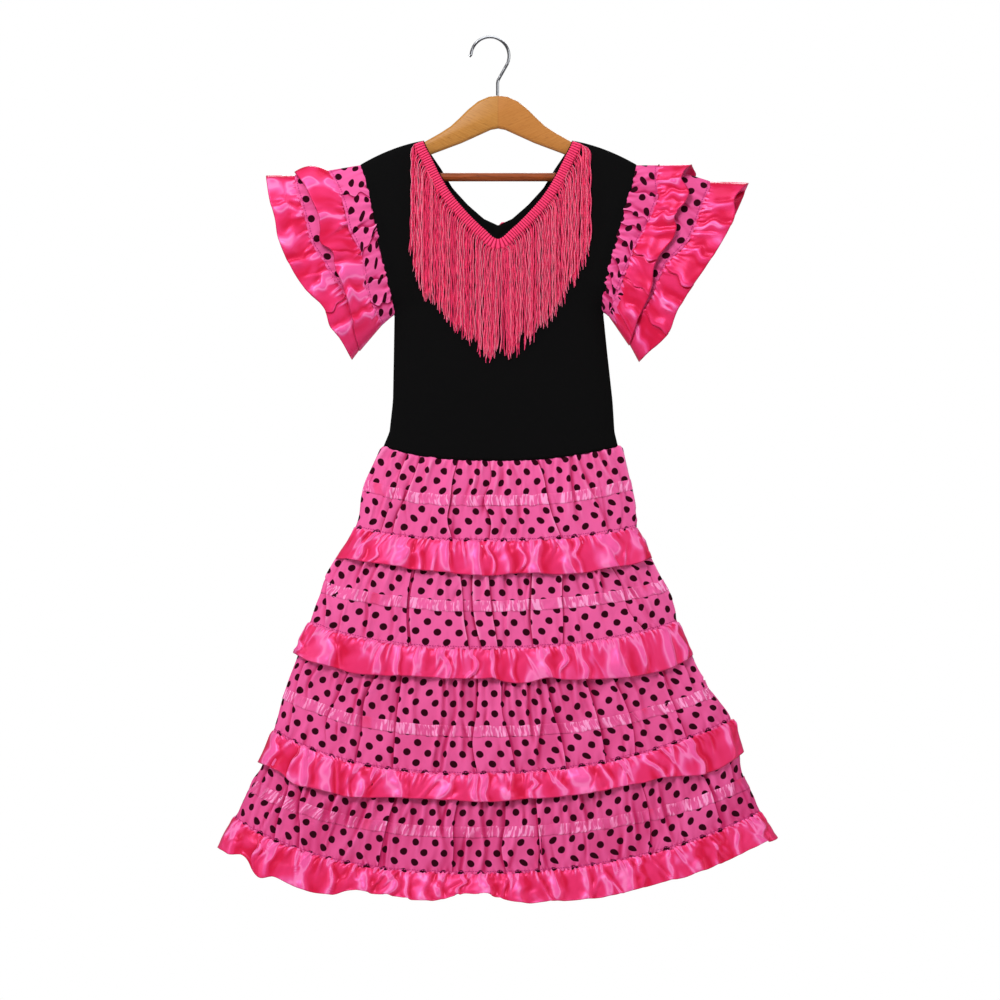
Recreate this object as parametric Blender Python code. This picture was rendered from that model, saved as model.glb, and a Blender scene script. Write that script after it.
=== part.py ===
"""Girl's flamenco dress on a wooden hanger.

The origin is where the hanger's hook rests on a rail. +Z is up, the dress faces -Y, and its left
sleeve in front view is at -X. All sizes are in metres.

Every cloth tube is worked out from sections: flattened rings, each given by the two ends of its long
axis, how far its middle bows from the line between them, and half its depth. The pieces of one tube
share the same columns round the ring, so that one piece's wall stays outside the other's.
"""

import math

import bmesh
import bpy
import numpy as np

MM = 0.001

# Cloth and seams.
WALL = 1.2 * MM
SEAM_GAP = 0.3 * MM
LAYER_STEP = WALL + SEAM_GAP
RUFFLE_STEP = LAYER_STEP + 0.35 * MM
RING_POWER = 2.4
SAG_POWERS = {"left": 2.8, "right": 2.1}
SLEEVE_POWERS = (2.4, 2.4)
# Share of a wave's height that is left at a ring's two ends, and share of the columns that is spent
# on its turns.
SIDE_SHARE = 0.35
TURN_SHARE = 0.34
# A ruffle starts this far above its seam, and a wave's crest hangs lower by this share of its height.
HEADING = 3.5 * MM
SEAM_WAVE = 1.6 * MM
CREST_DROP = 0.35

# The dress hangs this far to the side of the hook's rest point.
MIDDLE_X = 8.8 * MM

# Hanger.
WIRE_RADIUS = 1.65 * MM
HOOK_RADIUS = 20.9 * MM
HOOK_STEM_TOP_Z = -46.0 * MM
BOARD_THICKNESS = 10.5 * MM
BOARD_ROUNDING = 3.0 * MM
BOARD_TOP_Z = -63.3 * MM
BAR_RADIUS = 4.7 * MM
BAR_Z = -152.6 * MM
BAR_HALF_LENGTH = 122.5 * MM

# Skirt: columns round it, and waves in each piece. SKIRT_COLUMNS holds 4 columns for each wave of a
# tier and 3 for each wave of a ruffle.
SKIRT_COLUMNS = 60
TIER_WAVES = 15
RUFFLE_WAVES = 20
SLEEVE_COLUMNS = 30
SLEEVE_WAVES = 5
SLEEVE_RUFFLE_WAVES = 10
RIBBON_WALL = 1.0 * MM

# Skirt sections in mm: height at the left side, the right side and the middle, half width to the
# left and to the right, half depth, and the crest height of the cloth's waves.
SKIRT_TABLE = {
    # name:              left_z, right_z, middle_z, left, right, depth, wave
    "waist":             (-449.0, -449.0, -464.8, 125.4, 131.5, 17.0, 0.6),
    "tier_1_ribbon_top": (-488.5, -488.5, -505.0, 143.0, 140.5, 23.0, 3.6),
    "tier_1_ribbon_end": (-500.5, -500.5, -517.0, 147.0, 143.5, 24.0, 3.8),
    "seam_1":            (-538.5, -538.5, -553.2, 156.5, 151.5, 27.0, 1.6),
    "tier_2_ribbon_top": (-598.5, -598.5, -618.3, 188.0, 176.5, 33.0, 4.4),
    "tier_2_ribbon_end": (-610.5, -610.5, -630.3, 194.5, 183.5, 34.0, 4.6),
    "seam_2":            (-643.0, -643.0, -670.5, 207.0, 196.0, 37.0, 1.6),
    "tier_3_ribbon_top": (-714.0, -714.0, -753.6, 231.0, 229.0, 42.0, 5.0),
    "tier_3_ribbon_end": (-726.0, -723.0, -765.6, 235.0, 239.0, 43.0, 5.0),
    "seam_3":            (-762.0, -750.0, -805.8, 246.0, 256.0, 46.0, 1.6),
    "tier_4_ribbon_top": (-815.0, -812.0, -862.5, 267.5, 271.0, 50.0, 5.4),
    "tier_4_ribbon_end": (-827.0, -824.0, -874.5, 274.5, 278.0, 51.0, 5.4),
    "seam_4":            (-858.0, -851.0, -913.6, 289.0, 288.0, 53.0, 1.6),
    "hem":               (-888.0, -880.0, -944.0, 302.0, 301.0, 57.0, 0.0),
}
TIERS = (1, 2, 3, 4)
TIER_TOPS = {1: "waist", 2: "seam_1", 3: "seam_2", 4: "seam_3"}

# A ruffle's rows: how far down the stretch below its seam, and its own wave's crest height in mm.
RUFFLE_ROWS = {
    1: ((0.05, 1.0), (0.53, 8.0)),
    2: ((0.04, 1.0), (0.42, 9.0)),
    3: ((0.04, 1.0), (0.56, 10.0)),
    4: ((0.10, 1.5), (1.00, 12.0)),
}

# Sleeve sections in mm, left sleeve then right: x and z of the top end, x and z of the underarm end,
# outward bow of the middle, half depth, wave. x runs outward from the dress's middle.
SLEEVE_TABLES = {
    "left": {
        # name:     top_x, top_z, under_x, under_z, bow, depth, wave
        "armhole": (150.7, -139.2, 113.3, -307.5, 0.0, 13.0, 0.0),
        "gather":  (168.0, -142.5, 120.0, -309.5, 1.0, 17.0, 2.4),
        "seam_1":  (186.5, -147.5, 127.5, -311.0, 2.0, 20.0, 1.2),
        "seam_2":  (218.0, -156.0, 143.0, -331.0, 9.0, 26.0, 1.2),
        "hem":     (251.0, -156.0, 159.0, -350.0, 16.0, 31.0, 0.0),
    },
    "right": {
        "armhole": (151.8, -139.2, 115.0, -305.5, 0.0, 13.0, 0.0),
        "gather":  (163.0, -142.5, 121.0, -306.0, 1.0, 17.0, 2.4),
        "seam_1":  (176.0, -148.0, 128.5, -306.0, 3.0, 20.0, 1.2),
        "seam_2":  (231.0, -158.5, 144.0, -331.0, 4.0, 26.0, 1.2),
        "hem":     (270.0, -163.5, 159.0, -350.0, 13.0, 31.0, 0.0),
    },
}
SLEEVE_RUFFLE_ROWS = {
    1: ((0.06, 1.0), (0.80, 7.0)),
    2: ((0.06, 1.0), (1.00, 9.0)),
}
SIDE_SIGNS = {"left": -1, "right": 1}

# Bodice rows in mm, from the shoulder to the waist. arm is the place down the armhole, from 1 at the
# shoulder to -1 at the underarm. Below it the side seam is given by side_z and the half widths.
# neck_x and neck_z lie on the front neckline, then on the middle line below its point. back_x and
# back_z are the same for the back. depth is at the neckline or middle, bow curves the row.
BODICE_ROWS = [
    # arm, side_z, left, right, neck_x, neck_z, back_x, back_z, depth, bow
    (1.000, 0, 0, 0, 81.4, -112.9, 81.4, -112.9, 0.15, 3.6),
    (0.990, 0, 0, 0, 81.1, -113.7, 81.1, -113.7, 4.6, 3.6),
    (0.945, 0, 0, 0, 79.7, -117.5, 79.7, -117.5, 7.6, 3.4),
    (0.780, 0, 0, 0, 73.4, -129.8, 72.8, -127.8, 9.2, 1.8),
    (0.530, 0, 0, 0, 63.3, -150.2, 62.8, -144.5, 10.4, 0.0),
    (0.270, 0, 0, 0, 50.6, -171.0, 50.2, -162.4, 11.4, 0.0),
    (-0.020, 0, 0, 0, 33.0, -192.0, 33.0, -180.2, 12.4, 0.0),
    (-0.360, 0, 0, 0, 14.6, -209.8, 14.6, -196.8, 13.2, 0.0),
    (-0.700, 0, 0, 0, 0.0, -220.6, 0.0, -206.8, 13.8, 0.0),
    (-1.000, 0, 0, 0, 0.0, -262.0, 0.0, -256.0, 14.6, 0.0),
    (None, -345.0, 114.0, 119.5, 0.0, -338.0, 0.0, -336.0, 15.4, 0.0),
    (None, -399.0, 115.0, 125.5, 0.0, -404.0, 0.0, -404.0, 16.0, 0),
    (None, -433.0, 118.8, 127.6, 0.0, -446.0, 0.0, -446.0, 16.5, 0),
    (None, -449.0, 125.4, 131.5, 0.0, -464.8, 0.0, -464.8, 17.0, 0),
]
BODICE_COLUMNS = 6
TIP_ROW = 8

# Fringe on the front neckline: braid and strands.
BRAID_WIDTH = 10.5 * MM
BRAID_THICKNESS = 2.0 * MM
BRAID_INSET = 1.2 * MM
BRAID_CLEARANCE = 0.3 * MM
SHOULDER_ROWS = 3
SHOULDER_SLANT = 1.06
STRANDS_A_SIDE = 50
STRAND_SHARE = 0.68
STRAND_DEPTH = 1.3 * MM
STRAND_STAND_OFF = 1.5 * MM
FRINGE_HALF_WIDTH = 97.0 * MM
BRAID_REACH = 0.96
BACK_BRAID_PLACES = 27
NECK_POINT_STRETCH = 1.46
# Lower end of the strands, in mm: distance from the middle, height.
FRINGE_ENDS = [
    (0, -346), (18, -347), (32, -330), (52, -308), (66, -294), (80, -272), (90, -246), (97, -226),
]
STRAND_UNEVENNESS = 5.0 * MM


def material(name, rgb, roughness, metallic=0.0):
    """A Principled material."""
    made = bpy.data.materials.new(name)
    made.use_nodes = True
    shader = made.node_tree.nodes["Principled BSDF"]
    shader.inputs["Base Color"].default_value = (*rgb, 1.0)
    shader.inputs["Roughness"].default_value = roughness
    shader.inputs["Metallic"].default_value = metallic
    return made


def new_object(name, mesh, finish):
    made = bpy.data.objects.new(name, mesh)
    mesh.materials.append(finish)
    bpy.context.scene.collection.objects.link(made)
    return made


def cloth_wall(name, inner, outer, quads, finish):
    """A closed wall between two layers of points that share the same faces, with its edges rimmed.
    Each quad is split along the same diagonal, so that the layers of two pieces stay parallel."""
    points = np.concatenate([inner, outer])
    shift = len(inner)
    split = [triangle for a, b, c, d in quads for triangle in ((a, b, c), (a, c, d))]
    faces = [tuple(reversed(triangle)) for triangle in split]
    faces += [tuple(i + shift for i in triangle) for triangle in split]
    uses = {}
    for quad in quads:
        for a, b in zip(quad, quad[1:] + quad[:1]):
            uses.setdefault((min(a, b), max(a, b)), []).append((a, b))
    for found in uses.values():
        if len(found) == 1:
            a, b = found[0]
            faces.append((a, b, b + shift, a + shift))
    mesh = bpy.data.meshes.new(name)
    mesh.from_pydata(points.tolist(), [], faces)
    shape = bmesh.new()
    shape.from_mesh(mesh)
    loose = [vertex for vertex in shape.verts if not vertex.link_faces]
    bmesh.ops.delete(shape, geom=loose, context="VERTS")
    bmesh.ops.recalc_face_normals(shape, faces=shape.faces)
    shape.to_mesh(mesh)
    shape.free()
    mesh.shade_smooth()
    mesh.set_sharp_from_angle(angle=math.radians(50))
    return new_object(name, mesh, finish)


class Ring:
    """One row of a cloth tube: points on the cloth's middle surface, outward directions, how far the
    waves carry the cloth out at each column, and how far the whole row stands off its section."""

    def __init__(self, points, outward, lift, step=0.0):
        self.points = points
        self.outward = outward
        self.lift = lift
        self.step = step

    def toward(self, other, share):
        """The row that lies this share of the way to another."""
        mixed = self.outward * (1 - share) + other.outward * share
        mixed /= np.linalg.norm(mixed, axis=1)[:, None]
        points = self.points * (1 - share) + other.points * share
        return Ring(points, mixed, self.lift * (1 - share) + other.lift * share, self.step)

    def moved(self, vector):
        return Ring(self.points + np.array(vector), self.outward, self.lift, self.step)

    def lifted(self, lift, step=0.0):
        return Ring(self.points, self.outward, lift, step)

    def layer(self, offset):
        """The points at that distance outside the cloth's middle surface, crests hanging lower."""
        out = self.points + self.outward * (self.lift + self.step + offset)[:, None]
        out[:, 2] -= CREST_DROP * self.lift
        return out


def column_places(columns, aspect):
    """Places round a flattened ring, as (along, across), each from -1 to 1. It starts at the middle
    of the front. Columns are closer where the ring turns sharply."""
    fine = 4000
    angle = np.linspace(0, 2 * math.pi, fine, endpoint=False)
    along = np.sign(np.sin(angle)) * np.abs(np.sin(angle)) ** (2 / RING_POWER)
    across = -np.sign(np.cos(angle)) * np.abs(np.cos(angle)) ** (2 / RING_POWER)
    steps = np.hypot(np.diff(along, append=along[0]), aspect * np.diff(across, append=across[0]))
    heading = np.unwrap(np.arctan2(
        aspect * np.diff(across, append=across[0]), np.diff(along, append=along[0])
    ))
    turned = np.abs(np.diff(heading, append=heading[-1]))
    share = (1 - TURN_SHARE) * steps / steps.sum() + TURN_SHARE * turned / turned.sum()
    reached = np.concatenate([[0], np.cumsum(share)])[:fine]
    wanted = np.arange(columns) / columns
    picked = np.interp(wanted, reached, np.arange(fine)).round().astype(int) % fine
    return along[picked], across[picked]


def section_ring(end_a, end_b, bow, depth, places, powers):
    """The ring of one section. end_a and end_b are (x, z) points, bow is an (x, z) vector, and powers
    shape the bow toward each end: a high one keeps it flat in the middle."""
    along, across = places
    end_a, end_b, bow = (np.array(p, float) * MM for p in (end_a, end_b, bow))
    middle, half = (end_a + end_b) / 2, (end_b - end_a) / 2
    length = np.linalg.norm(half)
    depth = depth * MM
    power = np.where(along < 0, *powers)
    flat = middle + half * along[:, None] + bow * (1 - np.abs(along) ** power)[:, None]
    points = np.stack([flat[:, 0] + MIDDLE_X, depth * across, flat[:, 1]], axis=1)
    slope_along = np.sign(along) * np.abs(along) ** (RING_POWER - 1) / length
    slope_across = np.sign(across) * np.abs(across) ** (RING_POWER - 1) / depth
    outward = np.stack([
        slope_along * half[0] / length,
        slope_across,
        slope_along * half[1] / length,
    ], axis=1)
    return Ring(points, outward / np.linalg.norm(outward, axis=1)[:, None], np.zeros(len(along)))


def waves(columns, count, along, phase=0.0):
    """Waves round a ring, from 0 at the troughs to 1 at the crests, lower at the two sides."""
    turn = 2 * math.pi * count * np.arange(columns) / columns + phase
    uneven = 0.78 + 0.22 * np.sin(2 * math.pi * 3 * np.arange(columns) / columns + 1.3)
    flat_share = SIDE_SHARE + (1 - SIDE_SHARE) * (1 - np.abs(along) ** 8)
    return (0.5 + 0.5 * np.cos(turn)) * uneven * flat_share


def tube(name, rows, finish, wall=WALL):
    """A cloth tube through its rows."""
    columns = len(rows[0].points)
    quads = [
        (r * columns + c, r * columns + (c + 1) % columns,
         (r + 1) * columns + (c + 1) % columns, (r + 1) * columns + c)
        for r in range(len(rows) - 1)
        for c in range(columns)
    ]
    inner = np.concatenate([row.layer(-wall / 2) for row in rows])
    outer = np.concatenate([row.layer(wall / 2) for row in rows])
    return cloth_wall(name, inner, outer, quads, finish)


def ruffle_rows(cloth_end, seam, below, rows, wave, clearance_wave):
    """Rows of a ruffle that starts above a seam, outside the cloth above it and the cloth below.
    cloth_end is the row above the seam, below is the next row under it."""
    stretch = np.linalg.norm(seam.points - cloth_end.points, axis=1).mean()
    start = seam.toward(cloth_end, HEADING / stretch)
    made = [start.lifted(start.lift, RUFFLE_STEP)]
    for share, crest in rows:
        row = seam.toward(below, share)
        clear = SEAM_WAVE * (1 - share) + clearance_wave * share
        made.append(row.lifted(crest * MM * wave, clear + RUFFLE_STEP + SEAM_GAP))
    return made


def make_skirt(dotted, satin, ribbon):
    _, _, _, left, right, depth, _ = SKIRT_TABLE["seam_2"]
    places = column_places(SKIRT_COLUMNS, 2 * depth / (left + right))
    tier_wave = waves(SKIRT_COLUMNS, TIER_WAVES, places[0])
    ruffle_wave = waves(SKIRT_COLUMNS, RUFFLE_WAVES, places[0], math.pi / 6)
    rings = {}
    for name, (left_z, right_z, middle_z, left, right, depth, wave) in SKIRT_TABLE.items():
        sag = middle_z - (left_z + right_z) / 2
        ends = (-left, left_z), (right, right_z)
        ring = section_ring(*ends, (0, sag), depth, places, tuple(SAG_POWERS.values()))
        rings[name] = ring.lifted(wave * MM * tier_wave)
    for tier in TIERS:
        top = rings[TIER_TOPS[tier]].moved((0, 0, -2 * SEAM_GAP))
        ribbon_top = rings[f"tier_{tier}_ribbon_top"]
        ribbon_end = rings[f"tier_{tier}_ribbon_end"]
        seam = rings[f"seam_{tier}"]
        tube(f"skirt_tier_{tier}", [top, ribbon_top, ribbon_end, seam], dotted)
        step = WALL / 2 + RIBBON_WALL / 2 + SEAM_GAP
        tube(
            f"skirt_ribbon_{tier}",
            [row.lifted(row.lift, step) for row in (ribbon_top, ribbon_end)],
            ribbon,
            RIBBON_WALL,
        )
        below = f"tier_{tier + 1}_ribbon_top" if tier < TIERS[-1] else "hem"
        below_wave = SKIRT_TABLE[below][-1] * MM
        rows = ruffle_rows(
            ribbon_end, seam, rings[below], RUFFLE_ROWS[tier], ruffle_wave, below_wave
        )
        tube(f"skirt_ruffle_{tier}", rows, satin)


def sleeve_ring(side, name, places, shift=(0.0, 0.0)):
    """A sleeve's ring. shift moves its top end and its underarm end outward, in mm."""
    sign = SIDE_SIGNS[side]
    top_x, top_z, under_x, under_z, bow, depth, _ = SLEEVE_TABLES[side][name]
    line = np.array([top_x - under_x, top_z - under_z])
    out = np.array([line[1], -line[0]]) / np.linalg.norm(line)
    top = np.array([top_x, top_z]) + out * shift[0]
    under = np.array([under_x, under_z]) + out * shift[1]
    flip = np.array([sign, 1])
    return section_ring(under * flip, top * flip, out * bow * flip, depth, places, SLEEVE_POWERS)


def make_sleeve(side, dotted, satin):
    table = SLEEVE_TABLES[side]
    length = math.dist(table["seam_1"][0:2], table["seam_1"][2:4])
    places = column_places(SLEEVE_COLUMNS, 2 * table["seam_1"][5] / length)
    cloth_wave = waves(SLEEVE_COLUMNS, SLEEVE_WAVES, places[0])
    ruffle_wave = waves(SLEEVE_COLUMNS, SLEEVE_RUFFLE_WAVES, places[0], math.pi / 6)
    edge_shift = (SEAM_GAP / MM + 0.15, SEAM_GAP / MM + WALL / MM)
    rings = {"armhole": sleeve_ring(side, "armhole", places, edge_shift)}
    for name in ("gather", "seam_1", "seam_2", "hem"):
        rings[name] = sleeve_ring(side, name, places).lifted(table[name][6] * MM * cloth_wave)
    below_seam = rings["seam_1"].toward(rings["seam_2"], 0.012)
    halfway = rings["seam_1"].toward(rings["seam_2"], 0.5)
    halfway.lift = 2.2 * MM * cloth_wave
    tube(f"sleeve_{side}_upper", [rings["armhole"], rings["gather"], rings["seam_1"]], dotted)
    tube(f"sleeve_{side}_lower", [below_seam, halfway, rings["seam_2"]], dotted)
    upper = ruffle_rows(
        rings["gather"], rings["seam_1"], rings["seam_2"], SLEEVE_RUFFLE_ROWS[1], ruffle_wave, 2.4 * MM
    )
    lower = ruffle_rows(
        halfway, rings["seam_2"], rings["hem"], SLEEVE_RUFFLE_ROWS[2], ruffle_wave, 0.0
    )
    tube(f"sleeve_{side}_upper_ruffle", upper, satin)
    tube(f"sleeve_{side}_lower_ruffle", lower, satin)


def bodice_point(row, side, back, share):
    """A point on the bodice's middle surface: share is 0 at the neckline or middle, 1 at the edge."""
    arm, side_z, left, right, neck_x, neck_z, back_x, back_z, depth, bow = row
    inner_x, inner_z = (back_x, back_z) if back else (neck_x, neck_z)
    if arm is None:
        outer_x, outer_z = (left if side == "left" else right), side_z
        edge = 0.0
    else:
        top_x, top_z, under_x, under_z, _, arm_depth, _ = SLEEVE_TABLES[side]["armhole"]
        outer_x = under_x + (top_x - under_x) * (arm + 1) / 2
        outer_z = under_z + (top_z - under_z) * (arm + 1) / 2
        edge = arm_depth * (1 - abs(arm) ** RING_POWER) ** (1 / RING_POWER)
    across = (1 - share ** RING_POWER) ** (1 / RING_POWER)
    y = max(SEAM_GAP / 2 / MM, edge + (depth - edge) * across)
    x = inner_x + (outer_x - inner_x) * share
    z = inner_z + (outer_z - inner_z) * share + bow * 4 * share * (1 - share)
    if arm is None:
        z = inner_z + (outer_z - inner_z) * share ** SAG_POWERS[side]
    return np.array([SIDE_SIGNS[side] * x + MIDDLE_X / MM, y if back else -y, z]) * MM


def bodice_grid(side, back):
    """Points and outward directions of half a panel, as arrays of rows by columns."""
    # Columns close up toward the side seam, where the cloth turns.
    shares = np.sin(np.linspace(0, math.pi / 2, BODICE_COLUMNS + 1))
    points = np.array([[bodice_point(row, side, back, s) for s in shares] for row in BODICE_ROWS])
    down = np.gradient(points, axis=0)
    out = np.gradient(points, axis=1)
    outward = np.cross(down, out)
    outward /= np.linalg.norm(outward, axis=2)[:, :, None]
    facing = -1 if not back else 1
    outward *= np.sign(outward[-3, 1, 1]) * facing
    # Over the shoulder the wall's thickness runs upward, so the rims of the two panels face each other.
    outward[0] = (0, 0, 1)
    for index, row in enumerate(BODICE_ROWS):
        if row[0] is None or row[0] == -1:
            outward[index, -1] = (SIDE_SIGNS[side], 0, 0)
        if row[4] == 0:
            outward[index, 0, 0] = 0
    return points, outward / np.linalg.norm(outward, axis=2)[:, :, None]


def make_bodice_panel(name, back, finish):
    columns = BODICE_COLUMNS + 1
    count = len(BODICE_ROWS) * columns
    halves = {side: bodice_grid(side, back) for side in SIDE_SIGNS}
    points = np.concatenate([halves[side][0].reshape(-1, 3) for side in SIDE_SIGNS])
    outward = np.concatenate([halves[side][1].reshape(-1, 3) for side in SIDE_SIGNS])

    def index(half, row, column):
        # The two halves share the middle line from the neckline's point down.
        if column == 0 and row >= TIP_ROW:
            half = 0
        return half * count + row * columns + column

    quads = []
    for half in (0, 1):
        for row in range(len(BODICE_ROWS) - 1):
            for column in range(columns - 1):
                quad = (
                    index(half, row, column), index(half, row, column + 1),
                    index(half, row + 1, column + 1), index(half, row + 1, column),
                )
                quads.append(quad if half == 0 else tuple(reversed(quad)))
    cloth_wall(name, points - outward * WALL / 2, points + outward * WALL / 2, quads, finish)


class PanelSurface:
    """A fine sample of a panel's middle surface and outward directions, for what lies on it."""

    def __init__(self, back):
        self.halves = {side: bodice_grid(side, back) for side in SIDE_SIGNS}
        points, outward = [], []
        for grid, facing in self.halves.values():
            rows = np.linspace(0, len(grid) - 1, 12 * len(grid))
            columns = np.linspace(0, BODICE_COLUMNS, 10 * BODICE_COLUMNS)
            for source, kept in ((grid, points), (facing, outward)):
                kept.append(self.between(source, rows, columns))
        self.points = np.concatenate(points)
        self.outward = np.concatenate(outward)

    @staticmethod
    def between(grid, rows, columns):
        """The grid's values between its rows and columns, as a flat list."""
        row = np.minimum(rows.astype(int), len(grid) - 2)
        column = np.minimum(columns.astype(int), len(grid[0]) - 2)
        down = (rows - row)[:, None, None]
        along = (columns - column)[None, :, None]
        upper = grid[row][:, column] * (1 - along) + grid[row][:, column + 1] * along
        lower = grid[row + 1][:, column] * (1 - along) + grid[row + 1][:, column + 1] * along
        return (upper * (1 - down) + lower * down).reshape(-1, 3)

    def on_row(self, side, row, x, stand_off):
        """The point of one of the panel's rows, x from the dress's middle, that far off the surface."""
        grid, facing = self.halves[side]
        reached = np.abs(grid[row, :, 0] - MIDDLE_X)
        point, out = (
            np.array([np.interp(x, reached, source[row, :, axis]) for axis in range(3)])
            for source in (grid, facing)
        )
        return point + out * stand_off / np.linalg.norm(out)

    def at(self, x, z, stand_off):
        """The point over (x, z) that stands this far off the middle surface."""
        distance = np.hypot(self.points[:, 0] - x, self.points[:, 2] - z)
        near = np.argpartition(distance, 6)[:6]
        weight = 1 / (distance[near] + 0.2 * MM)
        weight /= weight.sum()
        out = (self.outward[near] * weight[:, None]).sum(axis=0)
        return (self.points[near] * weight[:, None]).sum(axis=0) + out * stand_off / np.linalg.norm(out)


def neck_line(back):
    """The neckline from the shoulder to its point, as (x, z) from the dress's middle."""
    place = 6 if back else 4
    return np.array([row[place:place + 2] for row in BODICE_ROWS[: TIP_ROW + 1]]) * MM


def offset_line(line, distance):
    """The neckline moved away from the opening, and further at its point."""
    slope = np.gradient(line, axis=0)
    slope /= np.linalg.norm(slope, axis=1)[:, None]
    out = np.stack([-slope[:, 1], slope[:, 0]], axis=1)
    out[-1] = (0, -1)
    stretch = np.ones(len(line))
    stretch[-1] = NECK_POINT_STRETCH
    return line + out * (distance * stretch)[:, None]


def braid_edges(back, places):
    """The braid's upper and lower edges at those distances from the middle, as (x, z) arrays."""
    line = neck_line(back)
    share = np.abs(places) / FRINGE_HALF_WIDTH

    def along(edge):
        x = edge[0, 0] * share
        return np.stack([np.sign(places) * x, np.interp(x, edge[::-1, 0], edge[::-1, 1])], axis=1)

    return along(offset_line(line, BRAID_INSET)), along(offset_line(line, BRAID_INSET + BRAID_WIDTH))


def braid_sections(surface, back, places):
    """Four corners of the braid at each place: upper and lower, against the cloth and outside. The
    first and last sections follow the panel's rows over the shoulder."""
    near = WALL / 2 + SEAM_GAP + BRAID_CLEARANCE
    far = near + BRAID_THICKNESS
    line = neck_line(back)

    def shoulder(side):
        made = []
        for row in range(SHOULDER_ROWS):
            inner = line[row, 0] + BRAID_INSET * SHOULDER_SLANT
            outer = inner + BRAID_WIDTH * SHOULDER_SLANT
            wanted = ((inner, near), (inner, far), (outer, far), (outer, near))
            made.append([surface.on_row(side, row, x, stand_off) for x, stand_off in wanted])
        return made

    upper, lower = braid_edges(back, places)
    middle = [
        [
            surface.at(ux + MIDDLE_X, uz, near), surface.at(ux + MIDDLE_X, uz, far),
            surface.at(lx + MIDDLE_X, lz, far), surface.at(lx + MIDDLE_X, lz, near),
        ]
        for (ux, uz), (lx, lz) in zip(upper, lower)
    ]
    return shoulder("left") + middle + shoulder("right")[::-1]


def braid_shape(corners):
    """A bmesh of the braid, and its lower faces, one for each cell."""
    shape = bmesh.new()
    rings = [[shape.verts.new(corner) for corner in section] for section in corners]
    lower_faces = []
    for first, second in zip(rings[:-1], rings[1:]):
        for k in range(4):
            face = shape.faces.new((first[k], first[(k + 1) % 4], second[(k + 1) % 4], second[k]))
            if k == 2:
                lower_faces.append(face)
    shape.faces.new(list(reversed(rings[0])))
    shape.faces.new(rings[-1])
    return shape, lower_faces


def finish_shape(name, shape, finish):
    bmesh.ops.recalc_face_normals(shape, faces=shape.faces)
    mesh = bpy.data.meshes.new(name)
    shape.to_mesh(mesh)
    shape.free()
    mesh.shade_smooth()
    mesh.set_sharp_from_angle(angle=math.radians(40))
    return new_object(name, mesh, finish)


def make_fringe(finish):
    """The braid on the front neckline, with a strand growing from each of its lower faces."""
    surface = PanelSurface(False)
    places = np.linspace(-BRAID_REACH, BRAID_REACH, 2 * STRANDS_A_SIDE + 1) * FRINGE_HALF_WIDTH
    shape, lower_faces = braid_shape(braid_sections(surface, False, places))
    random = np.random.default_rng(4)
    end_x, end_z = np.array(FRINGE_ENDS, float).T * MM
    for root in lower_faces[SHOULDER_ROWS:-SHOULDER_ROWS]:
        corners = np.array([vertex.co for vertex in root.verts])
        x, z = corners[:, 0].mean(), corners[:, 2].min()
        width = np.ptp(corners[:, 0]) * STRAND_SHARE / 2
        bottom = np.interp(abs(x - MIDDLE_X), end_x, end_z) + random.uniform(-1, 1) * STRAND_UNEVENNESS
        made = bmesh.ops.extrude_discrete_faces(shape, faces=[root])["faces"][0]
        for height, drop in ((z - 4 * MM, None), ((z + bottom) / 2, made), (bottom, made)):
            if drop is not None:
                made = bmesh.ops.extrude_discrete_faces(shape, faces=[made])["faces"][0]
            y = surface.at(x, height, WALL / 2 + STRAND_STAND_OFF)[1]
            middle_x = np.mean([vertex.co.x for vertex in made.verts])
            middle_y = np.mean([vertex.co.y for vertex in made.verts])
            for vertex in made.verts:
                vertex.co = (
                    x + math.copysign(width, vertex.co.x - middle_x),
                    y + math.copysign(STRAND_DEPTH / 2, vertex.co.y - middle_y),
                    height,
                )
    finish_shape("fringe_front", shape, finish)


def make_back_braid(finish):
    places = np.linspace(-BRAID_REACH, BRAID_REACH, BACK_BRAID_PLACES) * FRINGE_HALF_WIDTH
    shape, _ = braid_shape(braid_sections(PanelSurface(True), True, places))
    finish_shape("neck_braid_back", shape, finish)


def make_board(finish):
    """The hanger's wooden arms: half an outline, mirrored, pulled to thickness and rounded."""
    half = [
        # Top edge, from the middle outward, then the lobe that takes the bar, then the underside.
        (0, -63.3), (10, -64.2), (22, -69.5), (33, -78.5), (43, -88.5), (52, -96.8), (64, -104.6),
        (81.4, -114.4), (98.7, -118.9), (115, -125.2), (126, -130.4), (133.5, -136), (136.5, -144),
        (136.5, -154), (133, -160), (128, -161.5), (123.2, -158.5), (123.2, -146.8), (118, -143.5),
        (100, -138.5), (72, -127), (40, -115), (8, -100.5), (0, -99.0),
    ]
    outline = half + [(-x, z) for x, z in reversed(half[1:-1])]
    shape = bmesh.new()
    front = [
        shape.verts.new((x * MM + MIDDLE_X, -BOARD_THICKNESS / 2, z * MM)) for x, z in outline
    ]
    face = shape.faces.new(front)
    pulled = bmesh.ops.extrude_face_region(shape, geom=[face])["geom"]
    moved = [part for part in pulled if isinstance(part, bmesh.types.BMVert)]
    bmesh.ops.translate(shape, verts=moved, vec=(0, BOARD_THICKNESS, 0))
    board = finish_shape("hanger_board", shape, finish)
    rounding = board.modifiers.new("rounded_edges", "BEVEL")
    rounding.width = BOARD_ROUNDING
    rounding.segments = 2
    rounding.limit_method = "ANGLE"
    rounding.angle_limit = math.radians(60)


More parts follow.
